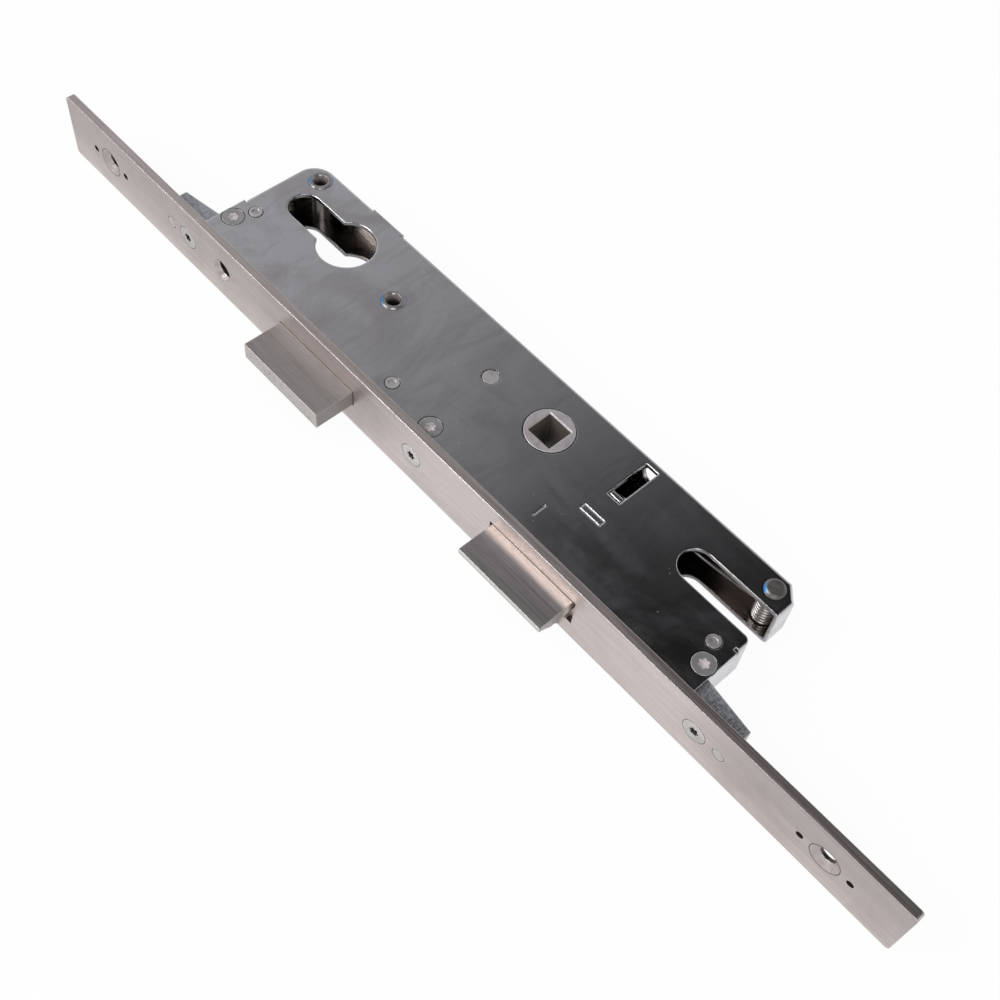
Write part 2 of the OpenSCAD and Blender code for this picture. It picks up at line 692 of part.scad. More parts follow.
module tubular_rivets() {
    r0 = tube_bore_d / 2;
    r1 = tube_d / 2;
    r2 = tube_rim_d / 2;
    top = half + tube_rim_h;
    color(bright) for (p = tube_at)
        translate([p[0], p[1], 0]) rotate_extrude($fn = round_fn)
            polygon([[r0, -top + 0.4], [r0, top - 0.4], [r0 + 0.3, top], [r2 - 0.3, top], [r2, half + 0.15],
                [r2, half], [r1, half], [r1, -half], [r2, -half], [r2, -half - 0.15], [r2 - 0.3, -top], [r0 + 0.3, -top]]);
}

module spring_post() {
    r1 = post_d / 2;
    r2 = post_head_d / 2;
    color(bright) translate([post_at[0], post_at[1], 0]) rotate_extrude($fn = round_fn)
        polygon([[0, -half - post_head_h], [r2 - 0.8, -half - post_head_h], [r2 - 0.2, -half - post_head_h * 0.6], [r2, -half],
            [r1, -half], [r1, half], [r2, half], [r2 - 0.2, half + post_head_h * 0.6],
            [r2 - 0.8, half + post_head_h], [0, half + post_head_h]]);
}

module guide_pin() {
    color(bright) along_z(guide_at, -half, case_thickness, guide_pin_d / 2);
}

module deadbolt_head() {
    color(steel) difference() {
        union() {
            block(dead_x - dead_w / 2, dead_x + dead_w / 2, -dead_throw, dead_inner_depth, -dead_t / 2, dead_t / 2);
            block(dead_x - dead_w / 2 - shoulder, dead_x + dead_w / 2 + shoulder, seat_y + 0.3, dead_inner_depth,
                -dead_t / 2, dead_t / 2);
        }
        block(slide_x0 - seat_gap, slide_x0 + slide_w + seat_gap, slide_front - seat_gap, dead_inner_depth + 1,
            -slide_t / 2 - seat_gap, slide_t / 2 + seat_gap);
        for (s = [-1, 1])
            along_z([dead_x + s * bolt_rivet_half, slide_front + 2.7], -dead_t, 2 * dead_t, bolt_rivet_d / 2 + seat_gap);
    }
}

module deadbolt_slide() {
    color(dark_steel) difference() {
        block(slide_x0, slide_x0 + slide_w, slide_front, slide_end, -slide_t / 2, slide_t / 2);
        // Slot that lets the slide run past the tubular rivet
        along_z([tube_at[1][0], tube_slot_front + tube_slot_half], -slide_t, 2 * slide_t, tube_slot_half);
        block(tube_at[1][0] - tube_slot_half, tube_at[1][0] + tube_slot_half, tube_slot_front + tube_slot_half,
            slide_end + 1, -slide_t, slide_t);
        // Notch for the cylinder cam
        block(slide_x0 - 1, slide_x0 + cam_notch_depth, cam_notch_y - cam_notch_w / 2, cam_notch_y + cam_notch_w / 2,
            -slide_t, slide_t);
        // Two dimples for the detent spring
        for (y = [detent_nose_at[1], detent_nose_at[1] - dead_throw])
            along_z([detent_nose_at[0], y], -slide_t, 2 * slide_t, detent_nose_r + 0.1);
        for (s = [-1, 1])
            along_z([dead_x + s * bolt_rivet_half, slide_front + 2.7], -slide_t, 2 * slide_t, bolt_rivet_d / 2 + seat_gap);
    }
}

module deadbolt_rivets() {
    color(bright) for (s = [-1, 1])
        along_z([dead_x + s * bolt_rivet_half, slide_front + 2.7], -dead_t / 2, dead_t, bolt_rivet_d / 2);
}

module detent_spring() {
    w = slide_t / 2;
    start = [guide_at[0], guide_at[1] - guide_pin_d / 2 - run_gap - detent_t / 2];
    run = [detent_nose_at[0] - start[0], detent_nose_at[1] - start[1]];
    color(bright) union() {
        difference() {
            along_z(guide_at, -w, slide_t, guide_pin_d / 2 + run_gap + detent_t);
            along_z(guide_at, -w - 1, slide_t + 2, guide_pin_d / 2 + run_gap);
        }
        translate([start[0], start[1], -w]) rotate([0, 0, atan2(run[1], run[0])])
            translate([0, -detent_t / 2, 0]) cube([norm(run), detent_t, slide_t]);
        along_z(detent_nose_at, -w, slide_t, detent_nose_r);
    }
}

module latch_head() {
    x0 = latch_x - latch_w / 2;
    top = latch_t / 2;
    color(steel) difference() {
        union() {
            block(x0, x0 + latch_w, -latch_projection, latch_inner_depth, latch_bottom, top);
            block(x0 - shoulder, x0 + latch_w + shoulder, seat_y + 0.3, latch_inner_depth, latch_bottom, top);
        }
        for (x = [x0 - 1, x0 + latch_w - latch_step])
            block(x, x + latch_step + 1, -latch_projection - 1, 1.5, latch_bottom - 1, latch_step_height);
        // Hollow bevel
        translate([x0 - 1, bevel_centre[0], bevel_centre[1]]) rotate([0, 90, 0])
            cylinder(h = latch_w + 2, r = bevel_r, $fn = 4 * round_fn);
        along_y(rod_x, pocket_front, latch_inner_depth - pocket_front + 1, pocket_d / 2);
        along_y(rod_x, rod_front, -rod_front, rod_d / 2 + seat_gap);
    }
}

// Rod with a neck through the rod plate and a swaged end behind it
module latch_rod() {
    front = rod_front + seat_gap;
    color(bright) union() {
        along_y(rod_x, front, rod_plate_y - front, rod_d / 2);
        along_y(rod_x, front, rod_plate_end - front + 0.01, rod_neck_d / 2);
        along_y(rod_x, rod_plate_end + 0.01, rod_head_h, rod_head_d / 2);
    }
}

// Plate on the latch rod, which the fork of the hub pushes and the two windows guide
module rod_plate() {
    z = half - 0.2;
    color(dark_steel) difference() {
        union() {
            block(rod_x - rod_plate_w / 2, rod_x + rod_plate_w / 2, rod_plate_y, rod_plate_end, -block_half, block_half);
            block(rod_x - rod_tenon_w / 2, rod_x + rod_tenon_w / 2, rod_plate_y, rod_plate_y + rod_tenon_t, -z, z);
        }
        along_y(rod_x, rod_plate_y - 1, rod_plate_t + 2, rod_neck_d / 2 + seat_gap);
    }
}

module spring_plate() {
    z = half;
    color(dark_steel) difference() {
        union() {
            block(rod_x - spring_plate_w / 2, rod_x + spring_plate_w / 2, spring_plate_y, spring_plate_y + spring_plate_t,
                -block_half, block_half);
            block(rod_x - tenon_w / 2, rod_x + tenon_w / 2, spring_plate_y, spring_plate_y + spring_plate_t, -z, z);
        }
        along_y(rod_x, spring_plate_y - 1, spring_plate_t + 2, rod_d / 2 + run_gap);
    }
}

// Section of the chamfer round the spindle square
module chamfer_section() {
    w = spindle / 2;
    h = half + boss_proud;
    c = spindle_chamfer;
    polygon([[-w + c, h - 2 * c], [-w - c, h], [-w - c, h + 1], [w + c, h + 1], [w + c, h], [w - c, h - 2 * c]]);
}

module hub() {
    w = spindle / 2;
    heel = spring_plate_y + spring_plate_t + run_gap - backset;
    nose = nose_y - backset;
    color(steel) translate([hub_x, backset, 0]) difference() {
        union() {
            translate([0, 0, -block_half + run_gap]) cylinder(h = 2 * (block_half - run_gap), r = hub_d / 2, $fn = round_fn);
            translate([0, 0, -half - boss_proud]) cylinder(h = case_thickness + 2 * boss_proud, r = boss_d / 2, $fn = round_fn);
            translate([0, 0, -block_half + run_gap]) linear_extrude(2 * (block_half - run_gap))
                polygon([[0, heel], [20, heel], [20, 1.8], [18.8, 3], [16.5, 3], [4, 8]]);
            // Two cheeks of the fork, with the heel that rests on the spring plate
            for (s = [0, 1])
                mirror([0, 0, s]) translate([0, 0, cheek_low]) {
                    linear_extrude(cheek_t)
                        polygon([[18, heel], [rod_offset + 1, heel], [rod_offset + nose_r, nose], [rod_offset, nose + nose_r],
                            [18, nose + nose_r - 0.2]]);
                    translate([rod_offset, nose, 0]) cylinder(h = cheek_t, r = nose_r, $fn = round_fn);
                }
        }
        translate([-w, -w, -half - 1]) cube([spindle, spindle, case_thickness + 2]);
        for (s = [0, 1])
            mirror([0, 0, s]) intersection() {
                translate([0, w + 2, 0]) rotate([90, 0, 0]) linear_extrude(2 * w + 4) chamfer_section();
                translate([-w - 2, 0, 0]) rotate([90, 0, 90]) linear_extrude(2 * w + 4) chamfer_section();
            }
    }
}

// One unbroken wire: ring centres, and the two directions that span each ring
module wire(centres, us, vs, r) {
    n = len(centres);
    points = [for (i = [0:n - 1]) for (k = [0:wire_sides - 1])
        let (a = 360 * k / wire_sides) centres[i] + r * (cos(a) * us[i] + sin(a) * vs[i])];
    sides = [for (i = [0:n - 2]) for (k = [0:wire_sides - 1])
        let (a = i * wire_sides + k, b = i * wire_sides + (k + 1) % wire_sides)
            each [[a, a + wire_sides, b], [b, a + wire_sides, b + wire_sides]]];
    ends = [for (k = [1:wire_sides - 2])
        each [[0, k, k + 1], [(n - 1) * wire_sides, (n - 1) * wire_sides + k + 1, (n - 1) * wire_sides + k]]];
    polyhedron(points = points, faces = concat(sides, ends));
}

// Least gap of a wire to itself, between points at least half a turn apart
function wire_gap(centres, d) = min([for (i = [0:len(centres) - 1]) for (j = [i + 4:1:len(centres) - 1])
    norm(centres[i] - centres[j])]) - d;

return_n = return_turns * wire_rings;
return_a = [for (i = [0:return_n]) 90 - 360 * i / wire_rings];
return_ring = [for (i = [0:return_n]) [post_at[0] + return_r * cos(return_a[i]), post_at[1] + return_r * sin(return_a[i]),
    leg_height - return_height + return_height * i / return_n]];
leg_start = return_ring[return_n];
leg_bend_at = [leg_bend[0], leg_bend[1], leg_height];
leg_end_at = [leg_end[0], leg_end[1], leg_height];
leg_way = (leg_bend_at - leg_start) / norm(leg_bend_at - leg_start);
hook_way = (leg_end_at - leg_bend_at) / norm(leg_end_at - leg_bend_at);
function side_of(way) = [-way[1], way[0], 0] / norm(way);
return_centres = concat([return_ring[0] + [-short_leg, 0, 0], return_ring[0] + [-1.6, 0, 0]], return_ring,
    [leg_start + 1.6 * leg_way, leg_bend_at - 0.6 * leg_way, leg_bend_at + 0.6 * hook_way, leg_end_at]);
return_u = concat([[0, 1, 0], [0, 1, 0]], [for (a = return_a) [cos(a), sin(a), 0]],
    [side_of(leg_way), side_of(leg_way), side_of(hook_way), side_of(hook_way)]);

module return_spring() {
    echo(return_spring_gap = wire_gap(return_ring, return_wire));
    color(bright) wire(return_centres, [for (u = return_u) -u], [for (u = return_u) [0, 0, 1]], return_wire / 2);
}

latch_spring_y0 = pocket_front + latch_wire / 2 + 0.1;
latch_spring_y1 = spring_plate_y - latch_wire / 2 - 0.1;
latch_n = latch_turns * wire_rings;
latch_a = [for (i = [0:latch_n]) 360 * i / wire_rings];
latch_ring = [for (i = [0:latch_n]) [rod_x + latch_spring_r * cos(latch_a[i]),
    latch_spring_y0 + (latch_spring_y1 - latch_spring_y0) * i / latch_n, latch_spring_r * sin(latch_a[i])]];

module latch_spring() {
    echo(latch_spring_gap = wire_gap(latch_ring, latch_wire));
    color(bright) wire(latch_ring, [for (a = latch_a) [cos(a), 0, sin(a)]], [for (a = latch_a) [0, 1, 0]], latch_wire / 2);
}

faceplate();
rear_shell();
front_cover();
lower_lug();
upper_lug();
centre_block();
faceplate_screws();
cover_screws();
lug_pins();
case_pins();
tubular_rivets();
spring_post();
guide_pin();
deadbolt_head();
deadbolt_slide();
deadbolt_rivets();
detent_spring();
latch_head();
latch_rod();
rod_plate();
latch_spring();
spring_plate();
hub();
return_spring();
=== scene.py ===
import math

import bpy
from mathutils import Matrix, Vector


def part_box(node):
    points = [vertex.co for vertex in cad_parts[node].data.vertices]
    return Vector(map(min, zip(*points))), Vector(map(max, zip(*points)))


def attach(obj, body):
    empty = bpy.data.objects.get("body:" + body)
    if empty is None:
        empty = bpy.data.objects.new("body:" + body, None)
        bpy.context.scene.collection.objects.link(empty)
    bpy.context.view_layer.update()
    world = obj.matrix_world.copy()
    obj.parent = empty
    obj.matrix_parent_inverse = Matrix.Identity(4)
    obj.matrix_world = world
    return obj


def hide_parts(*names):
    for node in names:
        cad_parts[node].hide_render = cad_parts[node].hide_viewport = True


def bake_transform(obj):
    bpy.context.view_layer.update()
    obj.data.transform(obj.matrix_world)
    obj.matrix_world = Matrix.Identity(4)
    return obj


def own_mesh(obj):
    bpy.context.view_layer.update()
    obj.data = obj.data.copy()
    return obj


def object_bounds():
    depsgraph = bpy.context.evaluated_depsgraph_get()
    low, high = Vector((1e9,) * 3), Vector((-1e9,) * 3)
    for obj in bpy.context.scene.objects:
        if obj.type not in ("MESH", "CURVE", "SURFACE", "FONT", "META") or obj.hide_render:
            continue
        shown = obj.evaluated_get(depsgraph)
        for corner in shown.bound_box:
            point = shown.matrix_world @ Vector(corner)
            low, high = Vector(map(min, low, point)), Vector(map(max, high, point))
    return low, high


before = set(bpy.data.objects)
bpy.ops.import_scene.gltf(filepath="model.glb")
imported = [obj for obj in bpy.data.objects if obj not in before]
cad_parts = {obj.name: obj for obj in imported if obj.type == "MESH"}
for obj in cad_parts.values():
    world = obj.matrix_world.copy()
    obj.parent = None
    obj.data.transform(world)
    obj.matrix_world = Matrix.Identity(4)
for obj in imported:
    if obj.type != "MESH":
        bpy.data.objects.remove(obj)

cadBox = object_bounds()
print("frame loaded:", len(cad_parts), "CAD nodes")


# Node helpers: a value that is a socket is linked, any other value is set

def setInput(tree, socket, value):
    if isinstance(value, bpy.types.NodeSocket):
        tree.links.new(value, socket)
    else:
        socket.default_value = value


def addNode(tree, kind, settings=None, **inputs):
    node = tree.nodes.new("ShaderNode" + kind)
    for name, value in (settings or {}).items():
        setattr(node, name, value)
    for name, value in inputs.items():
        setInput(tree, node.inputs[name], value)
    return node


def maths(tree, operation, a, b=0.0, clamp=False):
    node = addNode(tree, "Math", {"operation": operation, "use_clamp": clamp})
    setInput(tree, node.inputs[0], a)
    setInput(tree, node.inputs[1], b)
    return node.outputs[0]


def vectors(tree, operation, a, b=(0.0, 0.0, 0.0)):
    node = addNode(tree, "VectorMath", {"operation": operation})
    setInput(tree, node.inputs[0], a)
    setInput(tree, node.inputs[1], b)
    return node.outputs["Value" if operation in ("DISTANCE", "DOT_PRODUCT") else "Vector"]


def mapRange(tree, value, low, high, toLow=0.0, toHigh=1.0):
    node = addNode(tree, "MapRange", {"interpolation_type": "SMOOTHSTEP"})
    for name, number in (("Value", value), ("From Min", low), ("From Max", high),
                         ("To Min", toLow), ("To Max", toHigh)):
        setInput(tree, node.inputs[name], number)
    return node.outputs["Result"]


def mixColour(tree, factor, a, b):
    node = addNode(tree, "Mix", {"data_type": "RGBA"})
    setInput(tree, node.inputs[0], factor)
    # The node's colour sockets are inputs 6 and 7 and output 2
    for socket, colour in ((node.inputs[6], a), (node.inputs[7], b)):
        setInput(tree, socket, colour if isinstance(colour, bpy.types.NodeSocket) else (*colour, 1.0))
    return node.outputs[2]


def tint(tree, colour, mask, share, tone):
    return mixColour(tree, maths(tree, "MULTIPLY", mask, share), colour, tone)


def newGroup(name, inputs, outputs):
    group = bpy.data.node_groups.new(name, "ShaderNodeTree")
    for label, kind, value in inputs:
        socket = group.interface.new_socket(name=label, in_out="INPUT", socket_type="NodeSocket" + kind)
        socket.default_value = value
    for label, kind in outputs:
        group.interface.new_socket(name=label, in_out="OUTPUT", socket_type="NodeSocket" + kind)
    start = group.nodes.new("NodeGroupInput")
    end = group.nodes.new("NodeGroupOutput")
    return group, start.outputs, end.inputs


def useGroup(tree, group, **inputs):
    node = tree.nodes.new("ShaderNodeGroup")
    node.node_tree = group
    for name, value in inputs.items():
        setInput(tree, node.inputs[name], value)
    return node.outputs


def objectPlace(tree):
    return addNode(tree, "TexCoord").outputs["Object"]


def placeParts(tree):
    return addNode(tree, "SeparateXYZ", Vector=objectPlace(tree)).outputs


def normalParts(tree):
    return addNode(tree, "SeparateXYZ", Vector=addNode(tree, "NewGeometry").outputs["Normal"]).outputs


# Effects that several finishes share

# The Edge output marks the rounded edges where the finishes paint a highlight; the Normal output rounds
# them in the shading
def buildRoundedEdges():
    inputs = [("Radius", "Float", 0.0003), ("Gain", "Float", 6.0)]
    group, given, out = newGroup("roundedEdges", inputs, [("Edge", "Float"), ("Normal", "Vector")])
    bevel = addNode(group, "Bevel", {"samples": 6}, Radius=given["Radius"])
    flat = addNode(group, "NewGeometry").outputs["Normal"]
    same = vectors(group, "DOT_PRODUCT", bevel.outputs["Normal"], flat)
    bent = maths(group, "MULTIPLY", maths(group, "SUBTRACT", 1.0, same), given["Gain"], clamp=True)
    group.links.new(bent, out["Edge"])
    group.links.new(bevel.outputs["Normal"], out["Normal"])
    return group


def buildGrain():
    inputs = [("Stretch", "Vector", (20.0, 4000.0, 4000.0)), ("Wobble", "Float", 0.3)]
    group, given, out = newGroup("brushGrain", inputs, [("Lines", "Float"), ("Drift", "Float")])
    driftStretch = (0.4, 0.06, 0.06)
    place = vectors(group, "MULTIPLY", objectPlace(group), given["Stretch"])
    fine = addNode(group, "TexNoise", Vector=place, Scale=1.0, Detail=3.0, Roughness=0.7,
                   Distortion=given["Wobble"])
    slow = vectors(group, "MULTIPLY", place, driftStretch)
    broad = addNode(group, "TexNoise", Vector=slow, Scale=1.0, Detail=2.0, Roughness=0.5)
    group.links.new(fine.outputs["Fac"], out["Lines"])
    group.links.new(broad.outputs["Fac"], out["Drift"])
    return group


def buildSmudges():
    inputs = [("Scale", "Float", 60.0), ("Amount", "Float", 0.5)]
    group, given, out = newGroup("smudges", inputs, [("Smudge", "Float"), ("Wipe", "Float")])
    wipeStretch = (35.0, 160.0, 35.0)
    place = objectPlace(group)
    cloud = addNode(group, "TexNoise", Vector=place, Scale=given["Scale"], Detail=6.0, Roughness=0.62,
                    Distortion=0.8)
    smudge = mapRange(group, cloud.outputs["Fac"], low=0.46, high=0.68)
    wipes = vectors(group, "MULTIPLY", place, wipeStretch)
    wipe = addNode(group, "TexNoise", Vector=wipes, Scale=1.0, Detail=5.0, Roughness=0.55, Distortion=0.4)
    group.links.new(maths(group, "MULTIPLY", smudge, given["Amount"]), out["Smudge"])
    group.links.new(mapRange(group, wipe.outputs["Fac"], low=0.42, high=0.7), out["Wipe"])
    return group


def buildSpecks():
    inputs = [("Density", "Float", 900.0), ("Share", "Float", 0.25), ("Size", "Float", 0.35)]
    group, given, out = newGroup("specks", inputs, [("Speck", "Float"), ("Tone", "Float")])
    place = objectPlace(group)
    cells = addNode(group, "TexVoronoi", {"feature": "F1"}, Vector=place, Scale=given["Density"])
    random = addNode(group, "SeparateColor", Color=cells.outputs["Color"]).outputs
    chosen = maths(group, "LESS_THAN", random[0], given["Share"])
    reach = maths(group, "MULTIPLY", random[1], given["Size"])
    near = maths(group, "LESS_THAN", cells.outputs["Distance"], reach)
    group.links.new(maths(group, "MULTIPLY", chosen, near), out["Speck"])
    group.links.new(random[2], out["Tone"])
    return group


def buildRingMask():
    # 1 between two distances from the centre, measured flat in the plane that Flatten keeps
    inputs = [("Flatten", "Vector", (1.0, 1.0, 0.0)), ("Centre", "Vector", (0.0, 0.0, 0.0)),
              ("Inner", "Float", 0.0030), ("Outer", "Float", 0.0033), ("Soft", "Float", 0.00008)]
    group, given, out = newGroup("ringMask", inputs, [("Ring", "Float")])
    place = vectors(group, "MULTIPLY", objectPlace(group), given["Flatten"])
    far = vectors(group, "DISTANCE", place, given["Centre"])

    def softStep(radius, before, after):
        low = maths(group, "SUBTRACT", radius, given["Soft"])
        high = maths(group, "ADD", radius, given["Soft"])
        return mapRange(group, far, low, high, before, after)

    grows = softStep(given["Inner"], 0.0, 1.0)
    fades = softStep(given["Outer"], 1.0, 0.0)
    group.links.new(maths(group, "MULTIPLY", grows, fades), out["Ring"])
    return group


def buildSideMask():
    # 1 on the side of the centre that lies the given way
    inputs = [("Flatten", "Vector", (1.0, 1.0, 0.0)), ("Centre", "Vector", (0.0, 0.0, 0.0)),
              ("Way", "Vector", (1.0, 0.0, 0.0)), ("Start", "Float", 0.7), ("Full", "Float", 0.98)]
    group, given, out = newGroup("sideMask", inputs, [("Side", "Float")])
    place = vectors(group, "MULTIPLY", objectPlace(group), given["Flatten"])
    away = vectors(group, "NORMALIZE", vectors(group, "SUBTRACT", place, given["Centre"]))
    along = vectors(group, "DOT_PRODUCT", away, given["Way"])
    group.links.new(mapRange(group, along, given["Start"], given["Full"]), out["Side"])
    return group


def buildHoleWalls():
    # 1 where the surface runs along the axis, as the wall of a hole does
    group, given, out = newGroup("holeWalls", [("Axis", "Vector", (0.0, 0.0, 1.0))], [("Wall", "Float")])
    normal = addNode(group, "NewGeometry").outputs["Normal"]
    facing = maths(group, "ABSOLUTE", vectors(group, "DOT_PRODUCT", normal, given["Axis"]))
    group.links.new(mapRange(group, facing, 0.15, 0.3, toLow=1.0, toHigh=0.0), out["Wall"])
    return group


roundedEdges = buildRoundedEdges()
brushGrain = buildGrain()
smudges = buildSmudges()
specks = buildSpecks()
ringMask = buildRingMask()
sideMask = buildSideMask()
holeWalls = buildHoleWalls()


def newMaterial(name, metallic):
    material = bpy.data.materials.new(name)
    material.use_nodes = True
    tree = material.node_tree
    shader = tree.nodes["Principled BSDF"]
    shader.inputs["Metallic"].default_value = metallic
    return material, tree, shader


def addBump(tree, shader, height, normal, strength, distance):
    bump = addNode(tree, "Bump", Height=height, Normal=normal, Strength=strength, Distance=distance)
    tree.links.new(bump.outputs["Normal"], shader.inputs["Normal"])


# Dark rings of painted shade, for the gaps round fasteners
def darkRings(tree, colour, onFace, rings, tone):
    for centre, (inner, outer) in rings:
        ring = useGroup(tree, ringMask, Flatten=onFace, Centre=centre, Inner=inner, Outer=outer)
        colour = mixColour(tree, ring["Ring"], colour, tone)
    return colour


stainLook = {
    "blue": (0.10, 0.33, 0.66),
    "soft": 0.0002,
}


def blueStains(tree, colour, stains, start):
    # Heat tint on one side of a rim in the cover's plane
    for centre, (inner, outer), way in stains:
        ring = useGroup(tree, ringMask, Flatten=onCover, Centre=centre, Inner=inner, Outer=outer,
                        Soft=stainLook["soft"])
        side = useGroup(tree, sideMask, Flatten=onCover, Centre=centre, Way=way, Start=start)
        colour = tint(tree, colour, ring["Ring"], side["Side"], stainLook["blue"])
    return colour


# Places of the fasteners, taken from the CAD nodes

def flatCentre(name):
    low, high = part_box(name)
    return ((low[0] + high[0]) / 2, (low[1] + high[1]) / 2, 0.0)


def islandCentres(name, drop):
    # Centres of the loose parts of a node, such as the single screws of a set
    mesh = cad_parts[name].data
    first = {}
    parent = [first.setdefault(tuple(round(c, 6) for c in v.co), v.index) for v in mesh.vertices]

    def root(i):
        while parent[i] != i:
            parent[i] = parent[parent[i]]
            i = parent[i]
        return i

    for edge in mesh.edges:
        a, b = (root(i) for i in edge.vertices)
        parent[a] = b
    spans = {}
    for vertex in mesh.vertices:
        spans.setdefault(root(vertex.index), []).append(vertex.co)
    centres = []
    for points in spans.values():
        middle = [(min(p[i] for p in points) + max(p[i] for p in points)) / 2 for i in range(3)]
        centres.append(tuple(round(m * d, 5) for m, d in zip(middle, drop)))
    return sorted(set(centres))


onCover = (1.0, 1.0, 0.0)
onPlate = (1.0, 0.0, 1.0)
acrossCover = (0.0, 0.0, 1.0)
acrossPlate = (0.0, 1.0, 0.0)
screwPlaces = islandCentres("cover_screws", onCover)
pinPlaces = islandCentres("case_pins", onCover)
rivetPlaces = islandCentres("tubular_rivets", onCover)
plateScrewPlaces = islandCentres("faceplate_screws", onPlate)
plugPlaces = islandCentres("lug_pins", onPlate)
postPlace = flatCentre("spring_post")
guidePlace = flatCentre("guide_pin")
hubPlace = (0.018, 0.03, 0.0)  # the spindle's axis
fixingSpacing = 0.284
fixingPlaces = [(side * fixingSpacing / 2, 0.0, 0.0) for side in (-1, 1)]
print("cover fasteners:", len(screwPlaces), "screws", len(pinPlaces), "pins", len(rivetPlaces), "rivets")
print("faceplate fasteners:", len(plateScrewPlaces), "screws", len(plugPlaces), "pins")


# Finishes. Four numbers are a range and the values at its two ends, a rim or stain is an inner
# and an outer radius, and a bump is a strength and a height

lineRange = (0.34, 0.66)  # contrast of brushed and ground lines

faceplateFinish = {
    "metallic": 0.9,
    "pale": (0.69, 0.62, 0.605),
    "dark": (0.47, 0.415, 0.40),
    # Pale tone of the scuffs and of the painted edge highlight
    "edge": (0.93, 0.915, 0.91),
    "gap": (0.05, 0.045, 0.045),
    "wall": (0.13, 0.105, 0.095),
    "stretch": (26.0, 2600.0, 5200.0),
    "scuffStretch": (60.0, 60.0, 1500.0),
    "drift": (0.35, 0.65, 0.0, 0.35),
    "scuffs": (0.62, 0.75, 0.0, 0.5),
    "smudgeShare": 0.4,
    "speckShare": 0.25,
    "edgeHighlightShare": 0.7,
    "edgeRadius": 0.00035,
    "screwRim": (0.0035, 0.0037),
    "plugRim": (0.0017, 0.0019),
    "holeRim": (0.0043, 0.00455),
    "wallWidth": (0.0104, 0.0107),  # walls of holes are those nearer to the middle line than this
    "wallLength": (0.160, 0.161),
    "roughness": (0.28, 0.44),
    "roughFull": 1.4,  # lines and smudges together that give the greatest roughness
    "bump": (0.3, 0.00004),
}


def grainRoughness(tree, shader, lines, smudge, look):
    rough = mapRange(tree, maths(tree, "ADD", lines, smudge), 0.0, look["roughFull"], *look["roughness"])
    tree.links.new(rough, shader.inputs["Roughness"])


def satinSteel(name, look):
    material, tree, shader = newMaterial(name, look["metallic"])
    grain = useGroup(tree, brushGrain, Stretch=look["stretch"], Wobble=0.2)
    wear = useGroup(tree, smudges, Scale=45.0, Amount=0.6)
    edge = useGroup(tree, roundedEdges, Radius=look["edgeRadius"], Gain=6.0)
    dots = useGroup(tree, specks, Density=1300.0, Share=0.10, Size=0.30)
    scuffs = useGroup(tree, brushGrain, Stretch=look["scuffStretch"], Wobble=0.5)
    lines = mapRange(tree, grain["Lines"], *lineRange)
    colour = mixColour(tree, lines, look["dark"], look["pale"])
    colour = mixColour(tree, mapRange(tree, grain["Drift"], *look["drift"]), colour, look["pale"])
    colour = tint(tree, colour, wear["Smudge"], look["smudgeShare"], look["dark"])
    colour = mixColour(tree, mapRange(tree, scuffs["Lines"], *look["scuffs"]), colour, look["edge"])
    colour = tint(tree, colour, dots["Speck"], look["speckShare"], look["dark"])
    # Painted highlight along the rounded edges
    colour = tint(tree, colour, edge["Edge"], look["edgeHighlightShare"], look["edge"])
    # Painted shade in the gaps round the screws, the pins and the fixing holes
    rings = [(c, look["screwRim"]) for c in plateScrewPlaces]
    rings += [(c, look["plugRim"]) for c in plugPlaces]
    rings += [(c, look["holeRim"]) for c in fixingPlaces]
    colour = darkRings(tree, colour, onPlate, rings, look["gap"])
    # Painted shade on the walls of the holes and slots, without the long edges and the ends of the plate
    parts = placeParts(tree)
    wall = useGroup(tree, holeWalls, Axis=acrossPlate)["Wall"]
    for axis, reach in (("Z", look["wallWidth"]), ("X", look["wallLength"])):
        inside = mapRange(tree, maths(tree, "ABSOLUTE", parts[axis]), *reach, 1.0, 0.0)
        wall = maths(tree, "MULTIPLY", wall, inside)
    colour = mixColour(tree, wall, colour, look["wall"])
    tree.links.new(colour, shader.inputs["Base Color"])
    grainRoughness(tree, shader, lines, wear["Smudge"], look)
    addBump(tree, shader, lines, edge["Normal"], *look["bump"])
    return material


coverFinish = {
    "metallic": 1.0,
    "clean": (0.62, 0.61, 0.635),
    "film": (0.46, 0.44, 0.455),
    # Pale tone of the scratches and specks, and of the painted edge highlight
    "edge": (0.96, 0.96, 0.98),
    "gap": (0.015, 0.015, 0.018),
    "inside": (0.42, 0.385, 0.37),
    "scratchStretch": (60.0, 1500.0, 60.0),
    "streakStretch": (160.0, 45.0, 45.0),
    "streaks": (0.45, 0.7, 0.0, 0.45),
    "scratches": (0.66, 0.8, 0.0, 0.4),
    "smudgeShare": 0.6,
    "speckShare": 0.5,
    "edgeHighlightShare": 0.7,
    "edgeRadius": 0.0007,
    "screwRim": (0.00325, 0.0035),
    "pinRim": (0.00195, 0.0022),
    "guideRim": (0.0024, 0.00262),
    "hubRim": (0.0070, 0.0073),
    "rivetStain": (0.0034, 0.0037),
    "rivetStainWays": ((-0.55, -0.83, 0.0), (0.75, 0.66, 0.0)),
    "postStain": (0.0029, 0.0034),
    "postStainWay": (-0.90, -0.44, 0.0),
    "stainStart": 0.7,
    "roomLow": (-0.0981, 0.0010, -0.0062),  # the space inside the case
    "roomHigh": (0.0941, 0.0443, 0.0062),
    "roughness": {"clean": 0.1, "smudge": 0.12, "wipe": 0.07, "speck": 0.3},
    "bump": (0.03, 0.00003),
}


